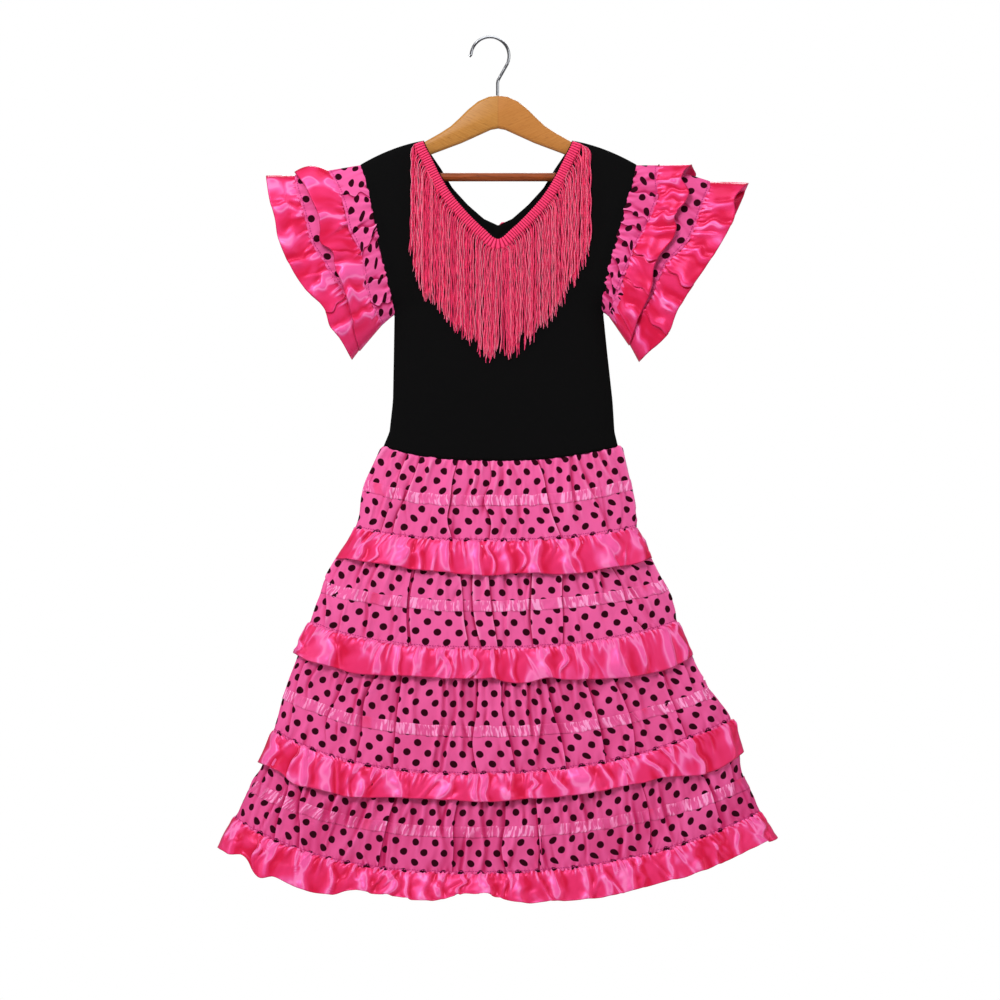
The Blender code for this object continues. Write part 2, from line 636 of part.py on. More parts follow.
def make_bar(finish):
    """The round bar between the hanger's two lobes."""
    shape = bmesh.new()
    bmesh.ops.create_cone(
        shape, cap_ends=True, segments=16, radius1=BAR_RADIUS, radius2=BAR_RADIUS,
        depth=2 * BAR_HALF_LENGTH,
    )
    bar = finish_shape("hanger_bar", shape, finish)
    bar.rotation_euler = (0, math.radians(90), 0)
    bar.location = (MIDDLE_X, 0, BAR_Z)


def make_hook(finish):
    """The wire hook: a stem out of the board, a bend, and most of a circle round the rail."""
    centre_z = -(HOOK_RADIUS - WIRE_RADIUS)
    leave, end = math.radians(-32), math.radians(176)
    stem_x = MIDDLE_X - 0.5 * MM
    route = [(stem_x, BOARD_TOP_Z + SEAM_GAP + 0.2 * MM), (stem_x, HOOK_STEM_TOP_Z - 3 * MM)]
    route += [(stem_x + 0.6 * MM, HOOK_STEM_TOP_Z)]
    for step in range(25):
        angle = leave + (end - leave) * step / 24
        route.append((HOOK_RADIUS * math.cos(angle), centre_z + HOOK_RADIUS * math.sin(angle)))
    route.append((-HOOK_RADIUS - 1.8 * MM, centre_z - 0.6 * MM))
    curve = bpy.data.curves.new("hanger_hook", "CURVE")
    curve.dimensions = "3D"
    curve.bevel_depth = WIRE_RADIUS
    curve.bevel_resolution = 2
    curve.use_fill_caps = True
    line = curve.splines.new("POLY")
    line.points.add(len(route) - 1)
    for point, (x, z) in zip(line.points, route):
        point.co = (x, 0, z, 1)
    new_object("hanger_hook", curve, finish)


def main():
    for found in list(bpy.data.objects):
        bpy.data.objects.remove(found, do_unlink=True)
    black_knit = material("black_stretch_knit", (0.006, 0.006, 0.007), 0.9)
    dotted = material("pink_dotted_cloth", (0.85, 0.12, 0.36), 0.7)
    satin = material("pink_satin", (0.90, 0.05, 0.20), 0.3)
    ribbon = material("pink_satin_ribbon", (0.92, 0.22, 0.48), 0.35)
    fringe = material("pink_rayon_fringe", (0.82, 0.07, 0.20), 0.55)
    wood = material("varnished_beech", (0.55, 0.28, 0.09), 0.4)
    dark_wood = material("varnished_bar", (0.33, 0.12, 0.04), 0.4)
    steel = material("chromed_wire", (0.75, 0.75, 0.76), 0.2, 1.0)
    make_hook(steel)
    make_board(wood)
    make_bar(dark_wood)
    make_bodice_panel("bodice_front", False, black_knit)
    make_bodice_panel("bodice_back", True, black_knit)
    make_fringe(fringe)
    make_back_braid(fringe)
    for side in SIDE_SIGNS:
        make_sleeve(side, dotted, satin)
    make_skirt(dotted, satin, ribbon)


main()
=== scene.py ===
"""Looks of a girl's flamenco dress that hangs on a wooden hanger.

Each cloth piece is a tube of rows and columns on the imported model's sections. Its folds carry the
cloth out of that surface and sideways, so that a deep tuck hides part of the dots as sewn cloth does.
Shapes are worked out in millimetres, from the middle of the dress, and become metres in the mesh.
"""

import logging
import math
from collections.abc import Callable
from dataclasses import dataclass, field, replace
from enum import Enum
from functools import partial

import bpy
import numpy as np
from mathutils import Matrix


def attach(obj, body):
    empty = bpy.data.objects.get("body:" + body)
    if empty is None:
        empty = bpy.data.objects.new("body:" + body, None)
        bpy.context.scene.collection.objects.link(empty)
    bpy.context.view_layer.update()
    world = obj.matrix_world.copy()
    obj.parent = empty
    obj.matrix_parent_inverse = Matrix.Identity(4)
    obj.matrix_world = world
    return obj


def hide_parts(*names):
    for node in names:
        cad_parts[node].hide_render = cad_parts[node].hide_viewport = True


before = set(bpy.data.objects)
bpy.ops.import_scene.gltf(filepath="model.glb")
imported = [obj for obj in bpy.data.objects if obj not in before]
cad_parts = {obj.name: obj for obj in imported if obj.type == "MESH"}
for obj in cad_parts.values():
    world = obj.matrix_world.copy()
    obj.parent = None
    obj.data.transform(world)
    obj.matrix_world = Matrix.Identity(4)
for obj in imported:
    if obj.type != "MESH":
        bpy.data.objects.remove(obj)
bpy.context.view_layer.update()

LOG = logging.getLogger("flamenco_dress")

MM = 0.001
MIDDLE_X = 8.8
RING_POWER = 2.4

Array = np.ndarray
Line = list[tuple[float, float]]
Table = list[tuple[float, ...]]
Object = bpy.types.Object
Material = bpy.types.Material
Socket = bpy.types.NodeSocket
Inputs = dict[int | str, Socket | str | float | tuple[float, ...]]
Adder = Callable[..., Socket]


# ---- Numbers, curves and soft noise


def smooth_step(value: Array) -> Array:
    """A soft rise from 0 to 1 as the value goes from 0 to 1."""
    share = np.clip(value, 0.0, 1.0)
    return share * share * (3.0 - 2.0 * share)


def bell(distance: Array, width: float) -> Array:
    """A soft hump of height 1 that has fallen to a third at the width."""
    return np.exp(-(distance / width) ** 2)


def curve_through(places: Array, values: Array, wanted: Array) -> Array:
    """Reads a smooth curve that goes through given values.

    Args:
        places: Where the values are given, rising.
        values: One value, or one row of values, for each place.
        wanted: Where the curve is read.

    Returns:
        The curve's values, one or one row for each wanted place.
    """
    places, values = np.asarray(places, float), np.asarray(values, float)
    slopes = np.gradient(values, places, axis=0)
    index = np.clip(np.searchsorted(places, wanted, "right") - 1, 0, len(places) - 2)
    length = places[index + 1] - places[index]
    share = np.clip((wanted - places[index]) / length, 0.0, 1.0)
    if values.ndim > 1:
        share, length = share[..., None], length[..., None]
    square, cube = share**2, share**3
    return (
        (2 * cube - 3 * square + 1) * values[index]
        + (cube - 2 * square + share) * length * slopes[index]
        + (3 * square - 2 * cube) * values[index + 1]
        + (cube - square) * length * slopes[index + 1]
    )


def line_through(points: Line, shares: Array) -> Array:
    """Reads a smooth line at shares of its length.

    Args:
        points: The line's points as (x, z).
        shares: Shares of the length, from 0 at the first point to 1 at the last.

    Returns:
        The (x, z) points, one for each share.
    """
    line = np.array(points, float)
    reached = np.concatenate([[0.0], np.cumsum(np.hypot(*np.diff(line, axis=0).T))])
    return curve_through(reached / reached[-1], line, shares)


def soft_noise(along: Array, down: Array, cell: tuple[float, float], around: float, seed: int) -> Array:
    """Smooth random values from -1 to 1 over a tube.

    Args:
        along: Distance round the tube, for each point.
        down: Distance down the tube, for each point.
        cell: Size of one soft blotch, along and down.
        around: The tube's whole length round, after which the values repeat.
        seed: Picks the pattern.

    Returns:
        One value for each point.
    """
    count, rows = max(3, round(around / cell[0])), 128
    x = along / around * count
    y = down / cell[1] + 50.0
    table = np.random.default_rng(seed).uniform(-1.0, 1.0, (rows, count))
    column, row = np.floor(x).astype(int), np.floor(y).astype(int)
    right, lower = smooth_step(x - column), smooth_step(y - row)

    def at(down_step: int, along_step: int) -> Array:
        """The random value at a corner of each point's cell."""
        return table[(row + down_step) % rows, (column + along_step) % count]

    upper_edge = at(0, 0) * (1 - right) + at(0, 1) * right
    lower_edge = at(1, 0) * (1 - right) + at(1, 1) * right
    return upper_edge * (1 - lower) + lower_edge * lower


# ---- Finishes

# Settings that many nodes share.
COLOURS = {"data_type": "RGBA"}
SOFT = {"interpolation_type": "SMOOTHSTEP"}
TIMES = {"operation": "MULTIPLY"}
TIMES_AND = {"operation": "MULTIPLY_ADD"}


def linear(colour: str) -> tuple[float, float, float, float]:
    """An sRGB hex colour as linear red, green, blue and alpha."""
    channels = [int(colour[place:place + 2], 16) / 255 for place in (1, 3, 5)]
    made = [c / 12.92 if c <= 0.04045 else ((c + 0.055) / 1.055) ** 2.4 for c in channels]
    return (*made, 1.0)


def feed(tree: bpy.types.NodeTree, node: bpy.types.Node, inputs: Inputs) -> None:
    """Gives a node's sockets, by name or number, a constant, a hex colour or another node's output."""
    for key, value in inputs.items():
        if isinstance(value, Socket):
            tree.links.new(value, node.inputs[key])
        else:
            node.inputs[key].default_value = linear(value) if isinstance(value, str) else value


def add_node(
    tree: bpy.types.NodeTree,
    kind: str,
    settings: dict[str, str] | None = None,
    inputs: Inputs | None = None,
    output: int | str = 0,
) -> Socket:
    """Adds a node with its settings and links.

    Args:
        tree: The node tree.
        kind: The node's type name, without ShaderNode.
        settings: The node's own settings.
        inputs: What its sockets get.
        output: Name or number of the output that is wanted.

    Returns:
        That output.
    """
    node = tree.nodes.new("ShaderNode" + kind)
    for name, value in (settings or {}).items():
        setattr(node, name, value)
    feed(tree, node, inputs or {})
    return node.outputs[output]


def layered(add: Adder, base: Socket | str, *layers: tuple) -> Socket:
    """Lays colours over one another.

    Args:
        add: Adds a node to the material.
        base: The lowest colour.
        layers: For each layer its colour, the most of it that shows, and what that hangs on: values,
            each with the low and the high between which it softly lets the colour through.

    Returns:
        The colour that they make.
    """
    for colour, shown, *rises in layers:
        for value, low, high in rises:
            shown = add("MapRange", SOFT, {0: value, 1: low, 2: high, 4: shown})
        base = add("Mix", COLOURS, {0: shown, 6: base, 7: colour}, 2)
    return base


def on_cloth(add: Adder, along: float, down: float) -> Socket:
    """The cloth's own coordinates, in metres along and down it, times a scale each way."""
    return add("VectorMath", TIMES, {0: add("UVMap", {"uv_map": "cloth"}), 1: (along, down, 0.0)})


def blotches(add: Adder, size: float, squeeze: float, distortion: float) -> Socket:
    """Soft random patches on the cloth, of a size in millimetres, longer down it by a squeeze under 1."""
    scale = 1.0 / (size * MM)
    place = on_cloth(add, scale, scale * squeeze)
    return add("TexNoise", None, {0: place, "Scale": 1.0, "Detail": 1.0, "Distortion": distortion})


def folded(add: Adder) -> Socket:
    """The fold value that the materials paint as shade and highlight: 0 deep down, painted darkest, 1 on a
    crest, painted lightest; on the fringe it also holds each thread's own colour.
    """
    return add("Attribute", {"attribute_name": "fold"}, None, "Fac")


def on_ribs(add: Adder, pitch: float) -> list[Socket]:
    """Angles along and down the cloth that make one turn in each rib's pitch, in millimetres."""
    turns = 2 * math.pi / (pitch * MM)
    return add("SeparateXYZ", None, {0: on_cloth(add, turns, turns)}).node.outputs[:2]


@dataclass(frozen=True)
class Finish:
    """A material with one Principled shader, whose constants are typical for what it is made of."""

    name: str
    roughness: float
    ior: float = 1.5
    metallic: float = 0.0
    # How deep its pattern is, in millimetres.
    relief: float = 0.0

    def look(self, add: Adder) -> Inputs:
        """What the shader's sockets get besides the constants above, and the Height of its pattern."""
        raise NotImplementedError

    def build(self) -> Material:
        """Makes the material."""
        made = bpy.data.materials.new(self.name)
        made.use_nodes = True
        inputs: Inputs = {"Roughness": self.roughness, "Metallic": self.metallic}
        if not self.metallic:
            inputs["IOR"] = self.ior
        add = partial(add_node, made.node_tree)
        inputs |= self.look(add)
        if "Height" in inputs:
            bump = {"Strength": 1.0, "Distance": self.relief * MM, "Height": inputs.pop("Height")}
            inputs["Normal"] = add("Bump", None, bump)
        feed(made.node_tree, made.node_tree.nodes["Principled BSDF"], inputs)
        return made


@dataclass(frozen=True)
class DottedCotton(Finish):
    """Printed plain-weave poly-cotton: matt, with round dark dots in staggered rows."""

    cloth: str = "#EC5F9F"
    # The shaded pink is painted shade down in the creases, and the crest pink a painted highlight on top of
    # the folds.
    shaded: str = "#C02660"
    crest: str = "#FA8CC0"
    dot: str = "#2E0010"
    stitches: str = "#B43472"
    dot_pitch: float = 22.0
    dot_radius: float = 3.95
    dot_blur: float = 0.014
    dot_lift: float = 7.0
    stitch: float = 2.8
    # Threads are drawn about three times as coarse as they are, so that they show.
    thread: float = 0.9
    relief: float = 0.04

    def lattice(self, add: Adder, shift: float) -> Socket:
        """Distance to the nearest dot of one square set of dots, in dot pitches."""
        scale = 1.0 / (self.dot_pitch * MM)
        offset = (shift, shift - self.dot_lift / self.dot_pitch, 0.0)
        spot = add("VectorMath", {"operation": "ADD"}, {0: on_cloth(add, scale, scale), 1: offset})
        spot = add("VectorMath", {"operation": "FRACTION"}, {0: spot})
        spot = add("VectorMath", {"operation": "SUBTRACT"}, {0: spot, 1: (0.5, 0.5, 0.0)})
        flat = add("VectorMath", TIMES, {0: spot, 1: (1.0, 1.0, 0.0)})
        return add("VectorMath", {"operation": "LENGTH"}, {0: flat}, "Value")

    def look(self, add: Adder) -> Inputs:
        """Dots over pink, with painted shade of deeper pink down in the creases and a painted highlight of
        paler pink on the folds, stitches above the hem, and a faint weave.
        """
        near = add("Math", {"operation": "MINIMUM"}, {0: self.lattice(add, 0.5), 1: self.lattice(add, 0.0)})
        radius = self.dot_radius / self.dot_pitch
        fold = folded(add)
        place = add("SeparateXYZ", None, {0: on_cloth(add, 1 / (self.stitch * MM), 1 / MM)}).node.outputs
        dash = add("Math", {"operation": "FRACT"}, {0: place[0]})
        # Painted shade and highlight from the fold value, then the print and the stitches.
        colour = layered(
            add, self.shaded,
            (self.cloth, 1.0, (fold, 0.02, 0.6)),
            (self.crest, 1.0, (fold, 0.66, 1.05)),
            (self.dot, 1.0, (near, radius + self.dot_blur, radius - self.dot_blur)),
            (self.stitches, 1.0, (place[1], 2.2, 2.5), (place[1], 3.5, 3.2), (dash, 0.72, 0.6)),
        )
        angles = on_ribs(add, 2 * self.thread)
        across, down = (add("Math", {"operation": "SINE"}, {0: angle}) for angle in angles)
        weave = add("Math", TIMES, {0: across, 1: down})
        return {"Base Color": colour, "Height": weave, "Specular IOR Level": 0.06}


@dataclass(frozen=True)
class Satin(Finish):
    """Polyester satin ribbon: crimson in the body, with a painted pink highlight wherever a fold turns to
    light.
    """

    # The deeper crimson is painted shade down in the valleys, the pink and the pale line are painted
    # highlight on the crests, and body is the satin's own crimson.
    body: str = "#E8326A"
    deep: str = "#D61A42"
    glow: str = "#F45CA2"
    line: str = "#FF8EC6"
    tint: str = "#FF6CB4"
    rolled: str = "#B01C48"
    wrinkle: float = 5.0
    wrinkle_share: float = 0.14
    band: float = 26.0
    relief: float = 0.9

    def look(self, add: Adder) -> Inputs:
        """Painted shade of deeper crimson in the valleys, painted highlight of pink on the crests with a
        pale line and in soft bands, tinted gloss and soft small wrinkles.

        The free edge is rolled and oversewn, which shows as a fine dark line.
        """
        # The bands are soft blotches of painted highlight that also raise the bump; with the fold value
        # they decide the painted shade and highlight.
        bands = blotches(add, self.band, 0.4, 0.8)
        gloss = add("Math", TIMES_AND, {0: folded(add), 1: 0.8, 2: bands})
        from_edge = add("SeparateXYZ", None, {0: on_cloth(add, 1.0, 1 / MM)}, 1)
        colour = layered(
            add, self.deep,
            (self.body, 1.0, (gloss, 0.56, 0.84)),
            (self.glow, 1.0, (gloss, 0.86, 1.06)),
            (self.line, 0.55, (gloss, 1.0, 1.06), (gloss, 1.22, 1.1)),
            (self.rolled, 0.6, (from_edge, 1.1, 0.6)),
        )
        wrinkles = blotches(add, self.wrinkle, 0.16, 0.3)
        height = add("Math", TIMES_AND, {0: wrinkles, 1: self.wrinkle_share, 2: bands})
        return {"Base Color": colour, "Height": height, "Specular Tint": self.tint, "Anisotropic": 0.35}


@dataclass(frozen=True)
class NarrowRibbon(Finish):
    """Narrow satin ribbon, drawn up by its stitches into tiny wrinkles that carry a painted highlight."""

    # The shaded pink and the red patches are painted shade, and the bright pink a painted highlight on the
    # wrinkles.
    body: str = "#EC5F9F"
    shaded: str = "#C02660"
    red: str = "#E62E5C"
    bright: str = "#FFA2D4"
    tint: str = "#FFB0DC"
    wrinkle: float = 2.7
    patch: float = 30.0
    relief: float = 0.8

    def look(self, add: Adder) -> Inputs:
        """Painted highlight of pale pink on upright wrinkles in patches, painted shade of crimson between
        the patches, and painted shade down in a fold.
        """
        wrinkles = blotches(add, self.wrinkle, 0.2, 0.5)
        patches = blotches(add, self.patch, 0.3, 0.0)
        fold = folded(add)
        colour = layered(
            add, self.shaded,
            (self.body, 1.0, (fold, 0.02, 0.6)),
            (self.red, 0.8, (patches, 0.38, 0.31)),
            (self.bright, 1.0, (wrinkles, 0.46, 0.6), (patches, 0.4, 0.5), (fold, 0.2, 0.42)),
        )
        gloss = {"Specular IOR Level": 0.12, "Specular Tint": self.tint}
        return {"Base Color": colour, "Height": wrinkles, **gloss}


@dataclass(frozen=True)
class StretchKnit(Finish):
    """Black cotton jersey: almost no gloss and fine upright ribs."""

    body: str = "#0D0D0D"
    # The darker colour is painted shade in the grooves between the ribs.
    groove: str = "#080809"
    rib: float = 1.1
    relief: float = 0.08

    def look(self, add: Adder) -> Inputs:
        """Near black, with ribs drawn as fine as can show and painted shade a little darker in their
        grooves.
        """
        wave = add("Math", {"operation": "SINE"}, {0: on_ribs(add, self.rib)[0]})
        colour = layered(add, self.groove, (self.body, 1.0, (wave, -1.0, 1.0)))
        return {"Base Color": colour, "Height": wave, "Specular IOR Level": 0.08}


@dataclass(frozen=True)
class Rayon(Finish):
    """Twisted rayon cord: silky, with a slow change of pink from thread to thread."""

    # The deep end of this scale is also painted shade, on the fringe's under layers and in the braid's
    # grooves.
    deep: str = "#9A0E2E"
    body: str = "#FF4276"
    light: str = "#FF8EA8"
    tint: str = "#FF90B0"
    twist: float = 1.6
    relief: float = 0.12

    def look(self, add: Adder) -> Inputs:
        """Each thread's own pink, with painted shade on the fringe's under layers and in the braid's
        grooves, and slanting twist lines.
        """
        own = folded(add)
        layers = (self.body, 1.0, (own, 0.0, 0.4)), (self.light, 1.0, (own, 0.4, 1.0))
        along, down = on_ribs(add, self.twist)
        slant = add("Math", {"operation": "ADD"}, {0: along, 1: down})
        wave = add("Math", {"operation": "SINE"}, {0: slant})
        gloss = {"Specular IOR Level": 0.15, "Specular Tint": self.tint}
        return {"Base Color": layered(add, self.deep, *layers), "Height": wave, **gloss}


@dataclass(frozen=True)
class VarnishedWood(Finish):
    """Beech under clear varnish: long fine grain along each arm, small flecks, smooth gloss."""

    light: str = "#BC8341"
    dark: str = "#AE7535"
    fleck: str = "#8E5C28"
    right_arm: str = "#B86E38"
    joint: str = "#7A4520"
    slope: float = 24.0
    grain: float = 1.3
    relief: float = 0.03
    two_arms: bool = True

    def look(self, add: Adder) -> Inputs:
        """Grain that runs down each arm from a joint in the middle, or along a single bar."""
        parts = add("SeparateXYZ", None, {0: add("TexCoord", None, None, "Object")}).node.outputs
        across = add("Math", {"operation": "SUBTRACT"}, {0: parts[0], 1: MIDDLE_X * MM})
        run = add("Math", {"operation": "ABSOLUTE"}, {0: across}) if self.two_arms else across
        place = add("CombineXYZ", None, {0: run, 1: parts[1], 2: parts[2]})
        turned = add("Mapping", None, {0: place, "Rotation": (0.0, math.radians(self.slope), 0.0)})
        fine = 1.0 / (self.grain * MM)
        stretched = add("VectorMath", TIMES, {0: turned, 1: (fine * 0.05, fine, fine)})
        grain = add("TexNoise", None, {0: stretched, "Scale": 1.0, "Detail": 4.0, "Distortion": 0.6})
        short = add("VectorMath", TIMES, {0: stretched, 1: (2.6, 1.0, 1.0)})
        fleck = add("TexNoise", None, {0: short, "Scale": 1.6, "Detail": 2.0})
        layers = [(self.dark, 1.0, (grain, 0.3, 0.75)), (self.fleck, 0.55, (fleck, 0.6, 0.7))]
        if self.two_arms:
            layers.append((self.right_arm, 0.35, (across, -0.2 * MM, 0.2 * MM)))
            layers.append((self.joint, 0.35, (run, 0.5 * MM, 0.1 * MM)))
        return {
            "Base Color": layered(add, self.light, *layers), "Height": grain,
            "Specular IOR Level": 0.15, "Coat Weight": 0.06, "Coat Roughness": 0.25,
        }


@dataclass(frozen=True)
class ChromedWire(Finish):
    """Bright chrome on drawn steel wire: mirror-like, a little duller in places."""

    bright: str = "#B4B6BA"
    dull: str = "#76787C"

    def look(self, add: Adder) -> Inputs:
        """A metal whose brightness and gloss wander a little along the wire."""
        place = add("TexCoord", None, None, "Object")
        noise = add("TexNoise", None, {0: place, "Scale": 260.0, "Detail": 2.0})
        return {
            "Base Color": add("Mix", COLOURS, {0: noise, 6: self.dull, 7: self.bright}, 2),
            "Roughness": add("MapRange", None, {0: noise, 3: 0.12, 4: 0.28}),
        }


@dataclass(frozen=True)
class StudioFloor(Finish):
    """Matt white painted board."""

    paint: str = "#F4F3F1"

    def look(self, add: Adder) -> Inputs:
        """One even colour."""
        return {"Base Color": self.paint}


# ---- Cloth


class Face(Enum):
    """The side of a tube that a fold lies on."""

    FRONT = "front"
    BACK = "back"


class Side(Enum):
    """The left or right of the dress in front view, as a sign of x."""

    LEFT = -1
    RIGHT = 1


@dataclass(frozen=True)
class Fold:
    """A fold that runs down a cloth tube. Places are x on the skirt and height on a sleeve.

    Attributes:
        top, middle, low: Where it runs at the cloth's first row, half way and at the last row.
        height: How far it stands out.
        width: How wide its gentle side is.
        steep: How wide its steep side is.
        lean: 1 when the steep side faces rising places, -1 when it faces falling ones.
        pleat: How far the cloth doubles over itself there, or 0 for a fold that stays open.
        start, stop: Shares of the way down between which it lives.
        face: The side of the tube it lies on.
        glow: How much lighter its crest is painted, as painted highlight.
    """

    top: float
    middle: float
    low: float
    height: float
    width: float = 7.0
    steep: float = 1.6
    lean: int = 1
    pleat: float = 0.0
    start: float = -0.2
    stop: float = 1.2
    face: Face = Face.FRONT
    glow: float = 0.65

    def mirrored(self, shift: float, lean: int) -> "Fold":
        """A like fold on the other face, moved along by the shift."""
        top, middle, low = shift - self.top, shift - self.middle, shift - self.low
        return replace(self, top=top, middle=middle, low=low, lean=lean, face=Face.BACK)


class ClothTube:
    """A tube of cloth rows and columns, with the folds that have been laid into it.

    Columns run down along the pleats, and each pleat has columns of its own, which double back under
    its lip and forward again, so that the cloth in it is really there.
    """

    # A pleat across: how far along, in pleat depths, and how far out, in fold heights and in millimetres.
    pleat_along = np.array([0.45, 1.0, 0.94, 0.1, -0.85, -0.9, 0.0, 0.9])
    pleat_heights = np.array([0.86, 1.0, 0.95, 0.35, 0.0, 0.0, 0.0, 0.0])
    pleat_out = np.array([0.0, 0.0, -0.5, -0.4, -0.35, -0.8, -0.9, -0.8])
    pleat_step = 0.12
    pleat_half = (len(pleat_along) - 1) / 2 * pleat_step
    # The least distance between two pleats, and between a fold and the tube's ends at the back.
    least_gap = 4.6
    end_gap = 8.0
    wander = 2.1
    # Samples of the bare ring, the one at the front's middle, and those at the front's two ends.
    samples = 1601
    centre = samples // 2
    front_ends = (samples // 4, samples // 4 * 3)

    def __init__(
        self, shape: Callable[[Array], Array], axis: int, folds: list[Fold],
        steps: tuple[float, float], seed: int,
    ) -> None:
        """Lays out the columns and lays the folds.

        Args:
            shape: Gives the tube's rows of points for an array of angles round it.
            axis: The coordinate that folds are placed by.
            folds: All the folds.
            steps: Distance between columns at the front and at the back.
            seed: Picks how the folds wander.
        """
        self.axis = axis
        angles = np.linspace(-math.pi, math.pi, self.samples)
        round_it = shape(angles)
        reached = np.cumsum(np.linalg.norm(np.diff(round_it, axis=1), axis=2), axis=1)
        reached = np.concatenate([np.zeros((len(round_it), 1)), reached], axis=1)
        arcs = reached - reached[:, self.centre, None]
        self.around = reached[:, -1]
        falls = np.linalg.norm(np.diff(round_it[:, self.centre], axis=0), axis=1)
        share = np.concatenate([[0.0], np.cumsum(falls)])
        share /= share[-1]
        pleats = [fold for fold in folds if fold.pleat]
        ring = (share, round_it, arcs)
        paths = [self.path(fold, *ring, seed + 7 * number) for number, fold in enumerate(pleats)]
        order = np.argsort([path[len(path) // 2] for path in paths])
        pleats = [pleats[number] for number in order]
        paths = self.spaced([paths[number] for number in order])
        self.arc, self.pleat_of, self.place_in_pleat = self.columns(paths, pleats, arcs, steps)
        self.angles = np.stack([np.interp(row, arc, angles) for row, arc in zip(self.arc, arcs)])
        self.base = shape(self.angles)
        tangent = np.roll(self.base, -1, axis=1) - np.roll(self.base, 1, axis=1)
        self.tangent = tangent / np.linalg.norm(tangent, axis=2)[:, :, None]
        outward = np.cross(np.gradient(self.base, axis=0), self.tangent)
        outward /= np.linalg.norm(outward, axis=2)[:, :, None]
        self.middle = int(np.argmin(np.abs(self.arc[len(self.arc) // 2])))
        self.turned = outward[len(outward) // 2, self.middle, 1] > 0
        self.outward = -outward if self.turned else outward
        falls = np.linalg.norm(np.diff(self.base, axis=0), axis=2)
        self.down = np.concatenate([np.zeros((1, self.base.shape[1])), np.cumsum(falls, axis=0)])
        self.share = self.down / self.down[-1]
        self.out = np.zeros(self.arc.shape)
        self.side = np.zeros(self.arc.shape)
        self.drop = np.zeros(self.arc.shape)
        # The fold value, which the materials paint as shade and highlight: 0.6 is plain cloth, and folds
        # paint it down into shade and up into highlight.
        self.shade = np.full(self.arc.shape, 0.6)
        for number, (fold, path) in enumerate(zip(pleats, paths)):
            self.lay(fold, path, number)
        for number, fold in enumerate(fold for fold in folds if not fold.pleat):
            self.lay(fold, self.path(fold, *ring, seed + 900 + number), None)

    def path(self, fold: Fold, share: Array, round_it: Array, arcs: Array, seed: int) -> Array:
        """Finds where a fold runs.

        Args:
            fold: The fold.
            share: Each row's share of the way down.
            round_it: The bare ring's points on each row.
            arcs: Their distances round it.
            seed: Picks how the fold wanders.

        Returns:
            Its distance round the tube on each row, 0 at the middle of the front.
        """
        places = curve_through([0.0, 0.5, 1.0], [fold.top, fold.middle, fold.low], share)
        wander = np.random.default_rng(seed).normal(0.0, self.wander, 5)
        places = places + curve_through(np.linspace(0, 1, 5), wander, share)
        known = round_it[:, :, self.axis]
        first, last = self.front_ends
        if fold.face is Face.FRONT:
            part, rising = slice(first, last + 1), 1
        else:
            beyond = fold.middle > known[len(known) // 2, 0]
            part, rising = slice(last, None) if beyond else slice(0, first + 1), -1
        found = [
            np.interp(place, x[part][::rising], arc[part][::rising])
            for place, x, arc in zip(places, known, arcs)
        ]
        return np.clip(found, arcs[:, 0] + self.end_gap, arcs[:, -1] - self.end_gap)

    def spaced(self, paths: list[Array]) -> list[Array]:
        """Moves paths apart where they would lie closer than the least gap."""
        upward, downward = [], []
        for path in paths:
            upward.append(np.maximum(path, upward[-1] + self.least_gap) if upward else path)
        for path in reversed(paths):
            downward.append(np.minimum(path, downward[-1] - self.least_gap) if downward else path)
        return [(up + down) / 2 for up, down in zip(upward, reversed(downward))]

    def columns(
        self, paths: list[Array], pleats: list[Fold], arcs: Array, steps: tuple[float, float]
    ) -> tuple[Array, Array, Array]:
        """Distances round the tube of every column on every row.

        Args:
            paths: Each pleat's distance on each row, in order round the tube.
            pleats: The pleats.
            arcs: Distances of the whole ring.
            steps: Distance between columns at the front and at the back.

        Returns:
            The distances, each column's pleat number or -1, and its place in that pleat.
        """
        half = self.pleat_half
        marks = [arcs[:, 0] - half, *paths, arcs[:, -1] + half]
        halfway = len(arcs) // 2
        front = arcs[halfway, self.front_ends]
        made, numbers, inside = [], [], []
        for number, (low, high) in enumerate(zip(marks[:-1], marks[1:])):
            if number:
                order = range(len(self.pleat_along))[::pleats[number - 1].lean]
                for spot, place in enumerate(order):
                    made.append(low + self.pleat_step * spot - half)
                    numbers.append(number - 1)
                    inside.append(place)
            from_here, to_there = low + half, high - half
            middle = (from_here[halfway] + to_there[halfway]) / 2
            step = steps[0] if front[0] < middle < front[1] else steps[1]
            count = max(2, round(float((to_there - from_here).max()) / step))
            first = 0 if number == 0 else 1
            for place in range(first, count):
                made.append(from_here + (to_there - from_here) * place / count)
                numbers.append(-1)
                inside.append(-1)
        return np.stack(made, axis=1), np.array(numbers), np.array(inside)

    def lay(self, fold: Fold, path: Array, number: int | None) -> None:
        """Lays one fold into the cloth.

        Args:
            fold: The fold.
            path: Its distance round the tube on each row.
            number: Its number among the pleats, or None.
        """
        around = self.around[:, None]
        distance = ((self.arc - path[:, None] + around / 2) % around - around / 2) * fold.lean
        alive = smooth_step((self.share - fold.start) / 0.16) * smooth_step((fold.stop - self.share) / 0.35)
        ease = np.random.default_rng(round(10 * abs(fold.middle)) + 3).uniform(0.35, 1.1, 5)
        alive = np.maximum(alive * curve_through(np.linspace(0, 1, 5), ease, self.share), 0.03)
        if number is None:
            lip = np.where(distance < 0, bell(distance, fold.width), bell(distance, fold.steep))
            valley = bell(distance - fold.steep * 1.8, fold.steep * 1.2)
            self.out += alive * fold.height * (lip - 0.4 * valley)
